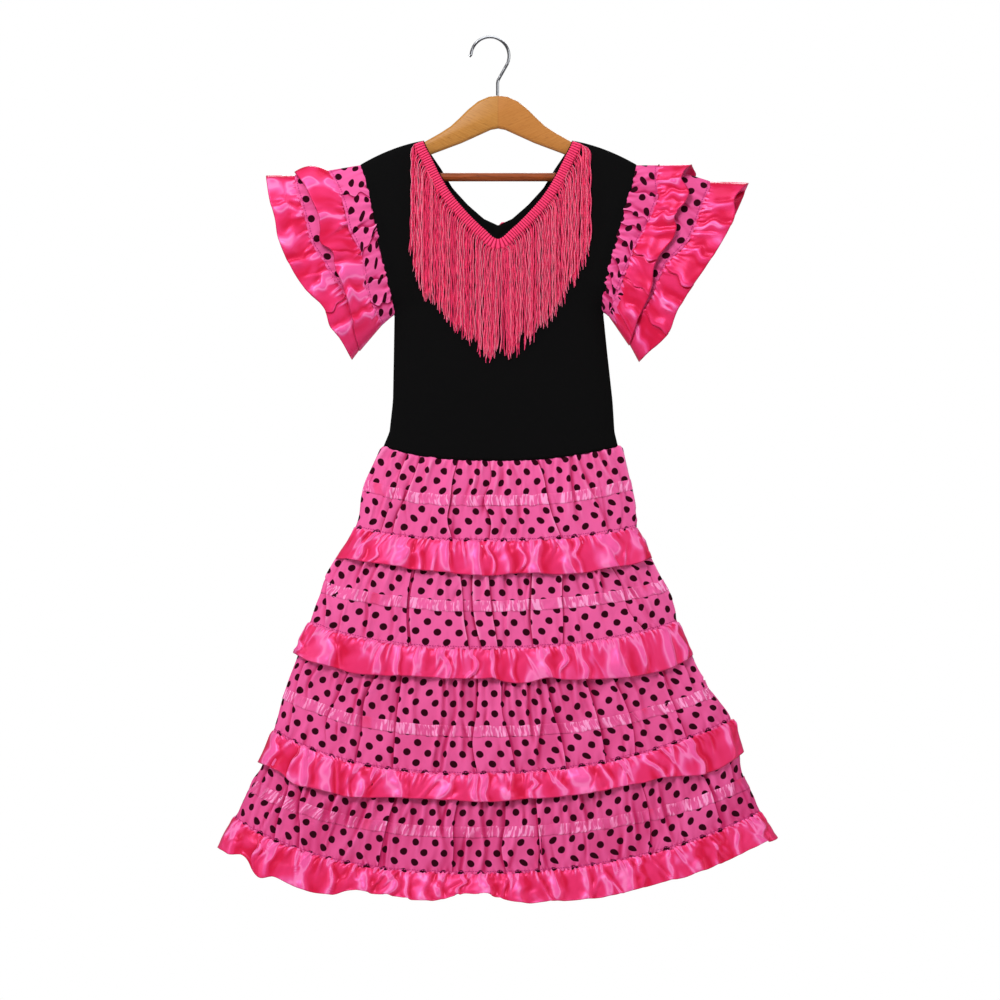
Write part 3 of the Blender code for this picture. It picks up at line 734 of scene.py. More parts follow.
            # Painted highlight on the fold's gentle side, painted shade in the valley past its steep side.
            lit = np.where(distance < 0, bell(distance, fold.width * 0.9), bell(distance, fold.steep * 0.8))
            self.shade += alive * (fold.glow * lit - 0.34 * valley)
            return
        own = self.pleat_of == number
        before, after = (distance < 0) & ~own, (distance >= 0) & ~own
        self.out += alive * np.where(before, fold.height * bell(distance, fold.width), 0.0)
        self.out -= alive * np.where(after, 0.8 * bell(distance, 3.2), 0.0)
        slide = np.where(before, 0.4 * bell(distance, 4.0), np.where(after, 0.9 * bell(distance, 3.4), 0.0))
        self.side += fold.lean * alive * fold.pleat * slide
        place = self.place_in_pleat[own]
        alive_here = alive[:, own]
        self.side[:, own] += fold.lean * alive_here * fold.pleat * self.pleat_along[place]
        self.out[:, own] += alive_here * (fold.height * self.pleat_heights[place] + self.pleat_out[place])
        # Painted shadow under the lip and beside it, and painted highlight just before it; the lip itself
        # is painted light and the cloth doubled under it painted dark.
        shadow = np.where(before, 0.0, 0.3 * bell(distance, 2.4) + 0.3 * bell(distance, 6.5))
        self.shade += alive * np.where(before, 0.25 * bell(distance, 3.0), -shadow)
        self.shade[:, own] += alive_here * np.where(place < 2, 0.9, -0.3)

    def gather(
        self, count: int, depth: float, reach: float, seed: int, glow: float, gloom: float,
        at_end: bool = False,
    ) -> None:
        """Lays many fine gathers that fade away from the first row, or from the last.

        Args:
            count: How many lie round the tube.
            depth: Their usual height.
            reach: How far they usually run.
            seed: Picks their places.
            glow: How much lighter their crests are painted, as painted highlight.
            gloom: How much darker it is painted between them, as painted shade.
            at_end: Whether they start at the last row.
        """
        random = np.random.default_rng(seed)
        from_edge = self.down[-1] - self.down if at_end else self.down
        turns = self.arc / self.around[:, None]
        spots = (np.arange(count) + random.uniform(-0.32, 0.32, count)) / count - 0.5
        lengths = reach * random.uniform(0.35, 1.5, count) * np.where(random.random(count) < 0.16, 1.8, 1.0)
        heights = depth * random.uniform(0.45, 1.3, count)
        widths = 0.28 / count * random.uniform(0.7, 1.2, count)
        drift = random.uniform(-0.5, 0.5, count) / count
        for spot, length, height, width, slip in zip(spots, lengths, heights, widths, drift):
            window = np.nonzero(np.abs(turns - spot).min(axis=0) < 5 * width + 0.01)[0]
            if not len(window):
                continue
            fade = bell(from_edge[:, window], length)
            off = turns[:, window] - spot - slip * from_edge[:, window] / reach
            hump = fade * bell(off, width * (1 + 0.5 * (1 - fade)))
            self.out[:, window] += height * hump
            # Painted highlight on each crest and painted shade between the gathers.
            self.shade[:, window] += glow * hump - gloom * fade * smooth_step(3 - np.abs(off) / width)

    def crease(
        self, count: int, depth: float, reach: float, slant: float, seed: int, glow: float, gloom: float
    ) -> None:
        """Lays short soft creases at random places.

        Args:
            count: How many lie round the tube.
            depth: Their usual height.
            reach: Their usual length.
            slant: The most that one leans, along for each millimetre down.
            seed: Picks their places.
            glow: How much lighter their crests are painted, as painted highlight.
            gloom: How much darker the valley beside each is painted, as painted shade.
        """
        random = np.random.default_rng(seed)
        turns = self.arc / self.around[:, None]
        whole = float(self.down[-1].mean())
        for spot in (np.arange(count) + random.uniform(-0.4, 0.4, count)) / count - 0.5:
            start, length = random.uniform(0.0, whole), reach * random.uniform(0.4, 1.5)
            lean, width = random.choice((-1, 1)), random.uniform(2.2, 4.6)
            tilt, height = slant * random.uniform(-1, 1), depth * random.uniform(0.4, 1.3)
            bend = random.uniform(-2.0, 2.0)
            near = np.abs(turns - spot).min(axis=0) * float(self.around.mean()) < 3 * width + slant * whole
            window = np.nonzero(near)[0]
            fall = self.down[:, window] - start
            life = height * bell(fall, length * 0.6)
            off = self.arc[:, window] - spot * self.around[:, None]
            off = (off - tilt * fall - bend * np.sin(fall / 14.0)) * lean
            ridge = np.where(off < 0, bell(off, width), bell(off, width * 0.42))
            valley = bell(off - width * 0.85, width * 0.6)
            self.out[:, window] += life * (ridge - 0.5 * valley)
            # Painted highlight along each crease and painted shade in the valley beside it.
            self.shade[:, window] += life / depth * (glow * bell(off, width * 0.5) - gloom * valley)

    def roll(self, cell: tuple[float, float], depth: float, seed: int, glow: float = 0.0) -> None:
        """Adds soft uneven swells all over, of that size and depth, painted lighter on their crests and
        darker in their hollows by glow.
        """
        along = self.arc + self.around[:, None] / 2
        swell = soft_noise(along, self.down, cell, float(self.around.mean()), seed)
        self.out += depth * swell
        # Painted highlight on the swells and painted shade in their hollows.
        self.shade += glow * swell

    def points(self) -> Array:
        """The folded cloth's points."""
        made = self.base + self.outward * self.out[:, :, None]
        made += self.tangent * self.side[:, :, None]
        made[:, :, 2] -= self.drop
        return made

    def along(self) -> Array:
        """Each point's distance along the cloth itself, hidden folds included.

        Every row has the same cloth, so each row's lengths are scaled to the same whole.
        """
        points = self.points()
        steps = np.linalg.norm(np.roll(points, -1, axis=1) - points, axis=2)
        reached = np.concatenate([np.zeros((len(steps), 1)), np.cumsum(steps, axis=1)], axis=1)
        reached -= reached[:, self.middle:self.middle + 1]
        for part in (slice(None, self.middle), slice(self.middle, None)):
            ends = reached[:, 0] if part.stop else reached[:, -1]
            reached[:, part] *= (np.median(ends) / ends)[:, None]
        return reached

    def strip(self, low: float, high: float, count: int, offset: float) -> "ClothTube":
        """A narrow strip that lies on this cloth, between two distances down its middle line.

        Args:
            low: Where it starts.
            high: Where it ends.
            count: Its rows.
            offset: How far out of the cloth it lies.

        Returns:
            The strip, as a tube of its own.
        """
        wanted = np.linspace(low, high, count)
        index = np.interp(wanted, self.down[:, self.middle], np.arange(len(self.down)))
        first = np.minimum(index.astype(int), len(self.down) - 2)
        made = ClothTube.__new__(ClothTube)
        made.__dict__.update(self.__dict__)
        for name in ("base", "arc", "down", "share", "tangent", "outward", "out", "side", "drop", "shade"):
            values = getattr(self, name)
            weight = (index - first).reshape(-1, *[1] * (values.ndim - 1))
            setattr(made, name, values[first] * (1 - weight) + values[first + 1] * weight)
        made.around = self.around[first]
        made.down = made.down - made.down[0]
        made.out = made.out + offset
        return made


def ring_place(angles: Array) -> tuple[Array, Array]:
    """Places round a flattened ring, along it and across it, each from -1 to 1."""
    sine, cosine = np.sin(angles), np.cos(angles)
    along = np.sign(sine) * np.abs(sine) ** (2 / RING_POWER)
    across = -np.sign(cosine) * np.abs(cosine) ** (2 / RING_POWER)
    return along, across


def declare(made: Object, slot: str, finish: Material, *nodes: str) -> None:
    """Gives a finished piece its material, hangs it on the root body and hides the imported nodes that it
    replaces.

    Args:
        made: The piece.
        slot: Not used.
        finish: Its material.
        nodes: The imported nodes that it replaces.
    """
    made.data.materials.clear()
    made.data.materials.append(finish)
    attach(made, "root")
    if nodes:
        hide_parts(*nodes)
    LOG.info("%s: %d faces", made.name, len(made.data.polygons))


def mesh_object(
    name: str, points: Array, faces: Array, uv: Array | None = None, fold: Array | None = None
) -> Object:
    """Makes a mesh object.

    Args:
        name: The object's name.
        points: Its points, in millimetres from the dress's middle.
        faces: Its faces, as point numbers.
        uv: Each face corner's place on the cloth, in metres.
        fold: Each point's value between 0, deep, and 1, proud, which the materials paint as shade and
            highlight.

    Returns:
        The object, shaded smooth.
    """
    mesh = bpy.data.meshes.new(name)
    placed = (np.asarray(points).reshape(-1, 3) + (MIDDLE_X, 0.0, 0.0)) * MM
    mesh.from_pydata(placed.tolist(), [], np.asarray(faces).tolist())
    if uv is not None:
        layer = mesh.uv_layers.new(name="cloth")
        layer.data.foreach_set("uv", np.asarray(uv, np.float32).ravel())
    if fold is not None:
        layer = mesh.attributes.new("fold", "FLOAT", "POINT")
        layer.data.foreach_set("value", np.asarray(fold, np.float32).ravel())
    mesh.shade_smooth()
    made = bpy.data.objects.new(name, mesh)
    bpy.context.scene.collection.objects.link(made)
    return made


def take_up(made: Object) -> None:
    """Makes an object the only one that operators act on."""
    for other in bpy.context.selected_objects:
        other.select_set(False)
    bpy.context.view_layer.objects.active = made
    made.select_set(True)


def edit_all(made: Object, operator: Callable[..., set], **settings: float) -> None:
    """Runs a mesh operator on all of an object, in edit mode."""
    take_up(made)
    bpy.ops.object.mode_set(mode="EDIT")
    bpy.ops.mesh.select_all(action="SELECT")
    operator(**settings)
    bpy.ops.object.mode_set(mode="OBJECT")
    made.select_set(False)


def thicken(made: Object, thickness: float) -> None:
    """Gives a sheet its thickness inward, in millimetres, and closes its edges."""
    take_up(made)
    solid = made.modifiers.new("thickness", "SOLIDIFY")
    solid.thickness = thickness * MM
    solid.offset = -1.0
    bpy.ops.object.modifier_apply(modifier=solid.name)
    made.select_set(False)


def cloth_size(tube: ClothTube) -> tuple[float, float]:
    """The flat width and length of the strip that a tube was sewn from, in metres."""
    points = tube.points()
    round_it = np.linalg.norm(np.roll(points, -1, axis=1) - points, axis=2).sum(axis=1)
    down_it = np.linalg.norm(np.diff(points, axis=0), axis=2).sum(axis=0)
    return float(np.percentile(round_it, 80)) * MM, float(down_it.mean()) * MM


def sew(
    node: str, ending: str, slot: str, tube: ClothTube, finish: Material,
    thickness: float = 0.0, from_last: bool = True,
) -> None:
    """Args:
        node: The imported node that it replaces.
        ending: What its name has after the node's.
        slot: The record's material slot.
        tube: The tube, with its folds.
        finish: Its material.
        thickness: The cloth's thickness, or 0 for a single surface.
        from_last: Whether its pattern is counted from the last row instead of the first.
    """
    points = tube.points()
    rows, columns = points.shape[:2]
    row, column = np.meshgrid(np.arange(rows - 1), np.arange(columns), indexing="ij")
    after = (column + 1) % columns
    along = tube.along()
    down = tube.down - (tube.down[-1] if from_last else 0.0)
    corners, u, v = [], [], []
    for below, beside in ((0, 0), (1, 0), (1, 1), (0, 1)):
        wrapped = after if beside else column
        corners.append((row + below) * columns + wrapped)
        u.append(along[row + below, column + beside])
        v.append(-down[row + below, wrapped])
    corners = np.stack(corners, axis=-1)
    uv = np.stack([np.stack(u, axis=-1), np.stack(v, axis=-1)], axis=-1) * MM
    if tube.turned:
        corners, uv = corners[..., ::-1], uv[..., ::-1, :]
    made = mesh_object(node + ending, points, corners.reshape(-1, 4), uv, np.clip(tube.shade, 0.0, 1.0))
    if thickness:
        thicken(made, thickness)
    declare(made, slot, finish, node)
    cloth_size(tube)


# ---- Skirt


@dataclass
class Skirt:
    """Four dotted tiers, each with a narrow ribbon and a satin ruffle at its foot."""

    # Distances between columns at the front and the back, and between rows.
    steps: tuple[float, float] = (1.15, 2.4)
    ruffle_steps: tuple[float, float] = (1.0, 2.4 / 1.15)
    row_step: float = 2.2
    ruffle_row_step: float = 1.7
    # How far each tier's first row lies below its seam: the first one starts inside the bodice.
    starts: tuple[float, ...] = (-1.5, 0.6, 0.6, 0.6)
    ruffle_lengths: tuple[float, ...] = (35.5, 35.5, 35.5, 31.5)
    ruffle_heading: float = 2.5
    satin_thickness: float = 0.45
    ribbon_width: float = 12.0
    ribbon_thickness: float = 0.16
    ribbon_offset: float = 0.34
    # How soon the seams sag from the left side and from the right.
    sag_powers: tuple[float, float] = (2.8, 2.1)
    # A tuck at least this high is a pleat, and a lower one is an open fold.
    least_pleat: float = 1.95
    # How proud each tier's and each ruffle's fold value starts: a lower value paints it darker, as painted
    # shade, and the lower tiers get lower values.
    tones: tuple[float, ...] = (0.62, 0.58, 0.46, 0.38)
    satin_tones: tuple[float, ...] = (0.38, 0.43, 0.39, 0.33)
    # How far the middle of each ruffle's edge is raised.
    lifts: tuple[float, ...] = (0.7, 2.0, 4.0, 6.0)
    # Height at the left side, the right side and the middle, half width left and right, half depth.
    sections: Table = field(default_factory=lambda: [
        (-449, -449, -464.8, 125.4, 131.5, 17), (-488.5, -488.5, -505, 143, 140.5, 23),
        (-500.5, -500.5, -517, 147, 143.5, 24), (-538.5, -538.5, -553.2, 156.5, 151.5, 27),
        (-598.5, -598.5, -618.3, 188, 176.5, 33), (-610.5, -610.5, -630.3, 194.5, 183.5, 34),
        (-643, -643, -670.5, 207, 196, 37), (-714, -714, -753.6, 231, 229, 42),
        (-726, -723, -765.6, 235, 239, 43), (-762, -750, -805.8, 246, 256, 46),
        (-815, -812, -862.5, 267.5, 271, 50), (-827, -824, -874.5, 274.5, 278, 51),
        (-858, -851, -913.6, 289, 288, 53), (-888, -880, -944, 302, 301, 57),
    ])
    seams: tuple[float, ...] = (464.8, 553.2, 670.5, 805.8, 913.6)
    ribbons: tuple[float, ...] = (503.6, 618.3, 754.6, 862.8)
    # Main tucks of each tier: x at its top, half way and foot, height, side of the shadow, and the
    # shares of the way down at which it ends and starts, if not those of any fold.
    tucks: list[Table] = field(default_factory=lambda: [
        [
            (-122, -138, -150, 1.1, -1, 0.5), (-110, -124, -135, 1.2, -1, 0.6), (-97, -114, -127, 2.6, -1),
            (-84, -99, -115, 2.3, -1), (-73, -83, -90, 1.2, -1, 0.8), (-46, -50, -50, 2.6, 1),
            (-18, -21, -24, 1.2, -1, 0.9), (-9, -11, -9, 2.2, -1), (9, 7, 5, 1.2, -1, 1.2, 0),
            (18, 26, 25, 1.8, -1), (44, 54, 68, 2.3, 1), (74, 79, 90, 1.5, 1, 1), (86, 102, 118, 1.6, 1),
            (104, 127, 133, 1.8, 1), (118, 136, 150, 1.3, 1, 0.8),
        ], [
            (-150, -184, -190, 1.6, -1), (-128, -155, -170, 1.8, -1, 0.9), (-116, -137, -142, 1.8, -1),
            (-98, -112, -114, 1.8, -1), (-88, -97, -98, 2.4, -1), (-80, -94, -92, 2, 1),
            (-62, -58, -56, 1.3, 1, 0.8), (-42, -40, -33, 2, 1), (-22, -24, -20, 2, -1),
            (-15, -9, -1, 2.5, 1), (8, 11, 14, 1.6, -1), (18, 22, 24, 1.4, 1, 0.8), (41, 38, 37, 2.1, -1),
            (64, 70, 74, 2.1, 1), (88, 103, 110, 1.4, 1, 0.9), (98, 113, 121, 1.3, 1, 0.8),
            (103, 133, 157, 2.4, 1), (122, 140, 152, 1.4, 1, 0.7), (153, 183, 192, 1.3, 1, 0.9),
        ], [
            (-188, -218, -229, 1.8, -1), (-170, -203, -208, 1.3, -1, 0.8), (-142, -172, -190, 2, -1, 1),
            (-122, -141, -157, 2.3, -1), (-98, -110, -117, 2.7, -1), (-91, -93, -95, 1.4, 1, 0.8),
            (-68, -63, -75, 1.9, 1), (-49, -46, -58, 1.8, -1), (-38, -40, -42, 1.2, 1, 0.7),
            (-20, -22, -22, 2.1, -1), (-4, 6, 20, 2, 1), (10, 10, 12, 1.3, 1, 0.7),
            (24, 32, 45, 1.6, 1, 0.9), (42, 45, 40, 1.9, 1), (42, 61, 72, 2, 1), (82, 102, 115, 2.3, 1),
            (104, 136, 150, 2, 1), (124, 151, 165, 1.7, 1, 1), (152, 188, 207, 2.3, 1),
            (168, 208, 220, 1.4, 1, 0.8), (184, 222, 236, 1.4, 1, 0.8),
        ], [
            (-228, -255, -265, 1.6, -1, 0.8), (-203, -230, -243, 2.2, -1), (-192, -213, -216, 2, -1),
            (-156, -178, -188, 1.6, -1, 0.8), (-134, -144, -170, 1.9, -1), (-106, -119, -128, 2.5, 1),
            (-96, -100, -103, 1.2, 1, 0.7), (-66, -64, -60, 1.6, 1, 0.9), (-43, -47, -50, 2.5, 1),
            (-20, -21, -17, 1.8, 1), (10, 7, 8, 2, -1), (39, 44, 45, 2.3, -1), (47, 46, 50, 1.7, 1),
            (68, 75, 79, 1.4, 1, 0.7), (87, 92, 98, 1.6, 1, 0.9), (148, 162, 163, 2.7, 1),
            (158, 175, 190, 1.8, 1), (198, 230, 245, 2, 1), (238, 258, 268, 1.3, 1, 0.8),
        ],
    ])
    # Swells of each ruffle, painted bright as a painted highlight: x at the seam and at the edge, half
    # width, height, and its lap, if any.
    swells: list[Table] = field(default_factory=lambda: [
        [
            (-150, -156, 8, 4), (-122, -138, 3, 3), (-100, -106, 14, 5), (-82, -85, 5, 3),
            (-57, -55, 6, 5), (-22, -22, 7, 5), (-8, -7, 2.5, 3), (8, 10, 9, 4), (24, 26, 3, 3),
            (40, 42, 8, 4), (70, 82, 9, 6), (87, 89, 4, 3), (118, 132, 13, 6), (152, 158, 8, 3),
        ], [
            (-212, -222, 8, 4), (-184, -186, 14, 5), (-127, -130, 8, 5), (-106, -112, 4, 4),
            (-84, -86, 11, 5), (-56, -56, 4, 4), (-44, -50, 5, 4), (-26, -28, 3, 4), (-9, -4, 4, 4),
            (16, 18, 4, 3), (50, 54, 11, 5), (72, 73, 4, 4), (90, 95, 5, 4), (122, 140, 12, 6),
            (153, 160, 6, 4), (178, 192, 8, 5), (198, 205, 6, 4),
        ], [
            (-240, -252, 9, 4), (-218, -228, 4, 3, -9), (-200, -210, 8, 4), (-182, -188, 12, 3),
            (-160, -164, 3, 4), (-148, -152, 9, 4), (-112, -108, 11, 5), (-58, -62, 9, 5),
            (-28, -24, 5, 5), (-14, -14, 6, 3), (12, 10, 12, 5), (36, 42, 4, 4), (60, 72, 7, 4),
            (88, 104, 17, 6), (112, 124, 5, 4), (134, 138, 3, 3), (160, 180, 5, 5), (186, 190, 5, 3),
            (208, 226, 6, 5), (248, 262, 10, 4),
        ], [
            (-280, -292, 10, 4), (-252, -270, 4, 4, -10), (-238, -256, 7, 4), (-204, -215, 12, 5),
            (-176, -186, 5, 5), (-145, -146, 10, 4), (-116, -116, 7, 4), (-101, -99, 4, 4),
            (-82, -80, 12, 5), (-62, -66, 6, 4), (-38, -38, 3, 4), (-14, -12, 8, 5), (20, 24, 12, 6),
            (60, 64, 9, 5), (92, 96, 7, 5), (116, 120, 7, 5), (134, 146, 9, 5), (152, 158, 5, 4),
            (184, 192, 5, 4), (206, 222, 11, 5), (230, 240, 5, 4), (258, 264, 5, 4), (280, 290, 10, 5),
        ],
    ])
    # Lower edge of each ruffle: x and height.
    edges: list[Line] = field(default_factory=lambda: [
        [
            (-166, -572), (-150, -575), (-120, -579), (-100, -583), (-60, -587), (-30, -590), (0, -591),
            (20, -588.5), (40, -588), (70, -589), (90, -588), (120, -583), (140, -580), (155, -577),
            (168, -571),
        ], [
            (-229, -674), (-210, -683), (-180, -691), (-160, -697), (-120, -700.5), (-100, -701),
            (-60, -703.5), (-20, -704), (-6, -704), (8, -708), (36, -708), (46, -705), (80, -705),
            (120, -704), (150, -701), (165, -698), (190, -692), (205, -684), (218, -675),
        ], [
            (-264, -796), (-250, -801), (-236, -808), (-226, -817), (-200, -824), (-180, -829),
            (-165, -833), (-130, -834), (-100, -835), (-60, -837), (0, -839), (30, -836), (60, -834),
            (80, -832), (110, -828), (130, -823), (150, -819), (165, -816), (178, -812), (195, -811),
            (225, -808), (240, -803), (260, -792), (279, -778),
        ], [
            (-307, -889), (-297, -895), (-271, -905), (-268, -912), (-244, -920), (-218, -932),
            (-191, -939), (-176, -939), (-165, -935.5), (-139, -938), (-112, -942), (-86, -947.5),
            (-60, -945.5), (-34, -939), (-7, -942), (20, -949.5), (59, -947.5), (99, -945.5), (138, -938),
            (178, -927), (205, -920), (231, -910), (257, -899), (284, -886), (307, -879),
        ],
    ])

    def surface(self, heights: Array, angles: Array, grow: Array | float = 0.0) -> Array:
        """Points of the skirt before any fold.

        Args:
            heights: Middle height of each row, as a distance below the hook.
            angles: Each column's angle.
            grow: How much wider and deeper each row is than its section.

        Returns:
            Rows by columns of points.
        """
        along, across = ring_place(angles)
        table = np.array(self.sections)
        read = curve_through(-table[:, 2], table, heights)
        left_z, right_z, middle_z, left, right, depth = read.T[:, :, None]
        grow = np.broadcast_to(np.asarray(grow, float), heights.shape)[:, None]
        x = (right - left) / 2 + along * ((left + right) / 2 + grow)
        y = (depth + grow) * across
        power = np.where(along < 0, *self.sag_powers)
        sag = middle_z - (left_z + right_z) / 2
        z = (left_z + right_z) / 2 + (right_z - left_z) / 2 * along + sag * (1 - np.abs(along) ** power)
        return np.stack([x, np.broadcast_to(y, x.shape), z], axis=-1)

    def tier_tube(self, tier: int) -> ClothTube:
        """The folded cloth of one tier."""
        top, foot = self.seams[tier], self.seams[tier + 1]
        heights = np.linspace(top + self.starts[tier], foot, round((foot - top) / self.row_step))
        # A tier grows out from under the ruffle above it, and the first one out of the waist.
        first = tier == 0
        inset = 1.4 * (heights < top + 0.4) if first else 3.4 * (1 - smooth_step((heights - top) / 46.0))
        folds = []
        for number, face in ((tier, Face.FRONT), ((tier + 1) % 4, Face.BACK)):
            for tuck in self.tucks[number]:
                *places, height, lean = tuck[:5]
                life = dict(zip(("stop", "start"), tuck[5:]))
                if height > self.least_pleat:
                    fold = Fold(*places, height, 5.0, 1.5, lean, 0.2 + 0.6 * height, **life)
                else:
                    # Open folds carry a faint painted highlight.
                    fold = Fold(*places, 2.4 * height, 3.4, 2.0, lean, glow=0.2, **life)
                folds.append(fold if face is Face.FRONT else fold.mirrored(9.0, -lean))
        tube = ClothTube(lambda angles: self.surface(heights, angles, -inset), 0, folds, self.steps, tier)
        # Painted shade: the fold value starts lower, so darker, on the lower tiers.
        tube.shade += self.tones[tier] - 0.6
        length = tube.around.mean()
        from_foot = tube.down[-1] - tube.down
        reach = 24.0 if first else 48.0
        # Gathers, creases and swells paint highlight on their crests and shade between them.
        tube.gather(round(length / 10.0), depth=3.2, reach=reach, seed=10 + tier, glow=0.3, gloom=0.12)
        tube.crease(
            round(length / 15.0), depth=2.4, reach=32.0, slant=0.2, seed=15 + tier, glow=0.2, gloom=0.3
        )
        tube.gather(
            round(length / 11.0), depth=1.0, reach=12.0, seed=20 + tier, at_end=True, glow=0.15, gloom=0.08
        )
        tube.roll((30.0, 90.0), depth=1.3, seed=30 + tier, glow=0.1)
        tube.roll((11.0, 60.0), depth=0.6, seed=40 + tier, glow=0.05)
        edge = soft_noise(tube.arc + length, tube.down * 0, (4.6, 9.0), length, 45 + tier)
        tube.drop = 1.1 * edge * bell(from_foot, 3.0)
        # The folds are flattened by the seam above and the stitches below.
        tube.out *= smooth_step(tube.down / 6.0) * 0.75 + 0.25
        tube.out = np.clip(tube.out, -3.5, 5.5)
        tube.out *= 1 - 0.6 * bell(from_foot, 6.0)
        tube.gather(
            round(length / 4.4), depth=0.8, reach=3.2, seed=25 + tier, at_end=True, glow=0.5, gloom=0.3
        )
        return tube

    def ruffle_tube(self, tier: int) -> ClothTube:
        """The folded satin of one ruffle."""
        seam, length, heading = self.seams[tier + 1], self.ruffle_lengths[tier], self.ruffle_heading
        count = round((length + heading) / self.ruffle_row_step)
        heights = np.linspace(seam - heading, seam + length, count)
        share = np.clip((heights - seam) / length, 0.0, 1.0)
        grow = np.where(heights < seam, -0.9, -0.9 + 7.4 * share**0.38)
        known = np.minimum(heights, -self.sections[-1][2])
        weight = (share**1.2)[:, None]
        spread = np.array(self.edges[tier]).T

        def shape(angles: Array) -> Array:
            """The ruffle's surface, drawn down or up to its edge line."""
            base = self.surface(known, angles, grow)
            last = base[-1] if angles.ndim == 1 else self.surface(known[-1:], angles[-1], grow[-1:])[0]
            lift = curve_through(spread[0], spread[1], last[:, 0]) - last[:, 2]
            lift += self.lifts[tier] * np.clip(1 - (last[:, 0] / spread[0, -1]) ** 2, 0.0, 1.0)
            base[:, :, 2] += weight * lift[None, :]
            return base

        folds = []
        for number, face in ((tier, Face.FRONT), ((tier + 2) % 4 if tier > 1 else tier, Face.BACK)):
            for x_top, x_low, width, height, *laps in self.swells[number]:
                lap = sum(laps)
                lean = -1 if lap < 0 else 1
                middle = (x_top + x_low) / 2
                fold = Fold(x_top, middle, x_low, height, width, width * 0.5, lean, abs(lap) / 2.5)
                folds.append(fold if face is Face.FRONT else fold.mirrored(7.0, lean))
        tube = ClothTube(shape, 0, folds, self.ruffle_steps, 100 + tier)
        # Painted shade: each ruffle's fold value starts from its own base.
        tube.shade += self.satin_tones[tier] - 0.6
        tube.out *= smooth_step(0.15 + 0.85 * share)[:, None]
        round_it = tube.around.mean()
        # Creases, gathers and swells paint highlight on their crests and shade between them.
        tube.crease(
            round(round_it / 26.0), depth=2.0, reach=26.0, slant=0.5, seed=55 + tier, glow=0.3, gloom=0.2
        )
        tube.gather(round(round_it / 5.6), depth=2.6, reach=8.5, seed=50 + tier, glow=0.9, gloom=0.24)
        tube.roll((12.0, 20.0), depth=0.5, seed=60 + tier, glow=0.05)
        tube.out *= smooth_step(tube.down / 3.2)
        tube.out = np.maximum(tube.out, -1.6)
        waver = soft_noise(tube.arc + round_it, tube.down, (13.0, 90.0), round_it, 70 + tier)
        tube.drop = weight * 0.7 * waver
        return tube

    def ribbon_tube(self, tier: int, tube: ClothTube) -> ClothTube:
        """The narrow ribbon that lies on a tier, over the same folds."""
        top = self.ribbons[tier] - self.seams[tier] - self.starts[tier]
        strip = tube.strip(top, top + self.ribbon_width, 9, self.ribbon_offset)
        strip.roll((3.0, 5.0), depth=0.25, seed=80 + tier)
        around = float(strip.around.mean())
        strip.drop = strip.drop + soft_noise(strip.arc + 999, strip.down * 0, (7.0, 9.0), around, 85 + tier)
        return strip

    def build(self, dotted: tuple[Material, ...], satin: Material, ribbon: Material) -> None:
        """Makes and dresses every piece of the skirt, with a dotted cloth for each tier."""
        for tier, cotton in enumerate(dotted):
            number = tier + 1
            name = f"skirt_tier_{number}"
            tube = self.tier_tube(tier)
            sew(name, "_cloth", "dotted_cloth", tube, cotton)
            strip = self.ribbon_tube(tier, tube)
            sew(
                f"skirt_ribbon_{number}", "_strip", "satin_ribbon", strip, ribbon,
                self.ribbon_thickness, from_last=False,
            )
            ruffle = self.ruffle_tube(tier)
            sew(f"skirt_ruffle_{number}", "_satin", "satin", ruffle, satin, self.satin_thickness)


# ---- Sleeves


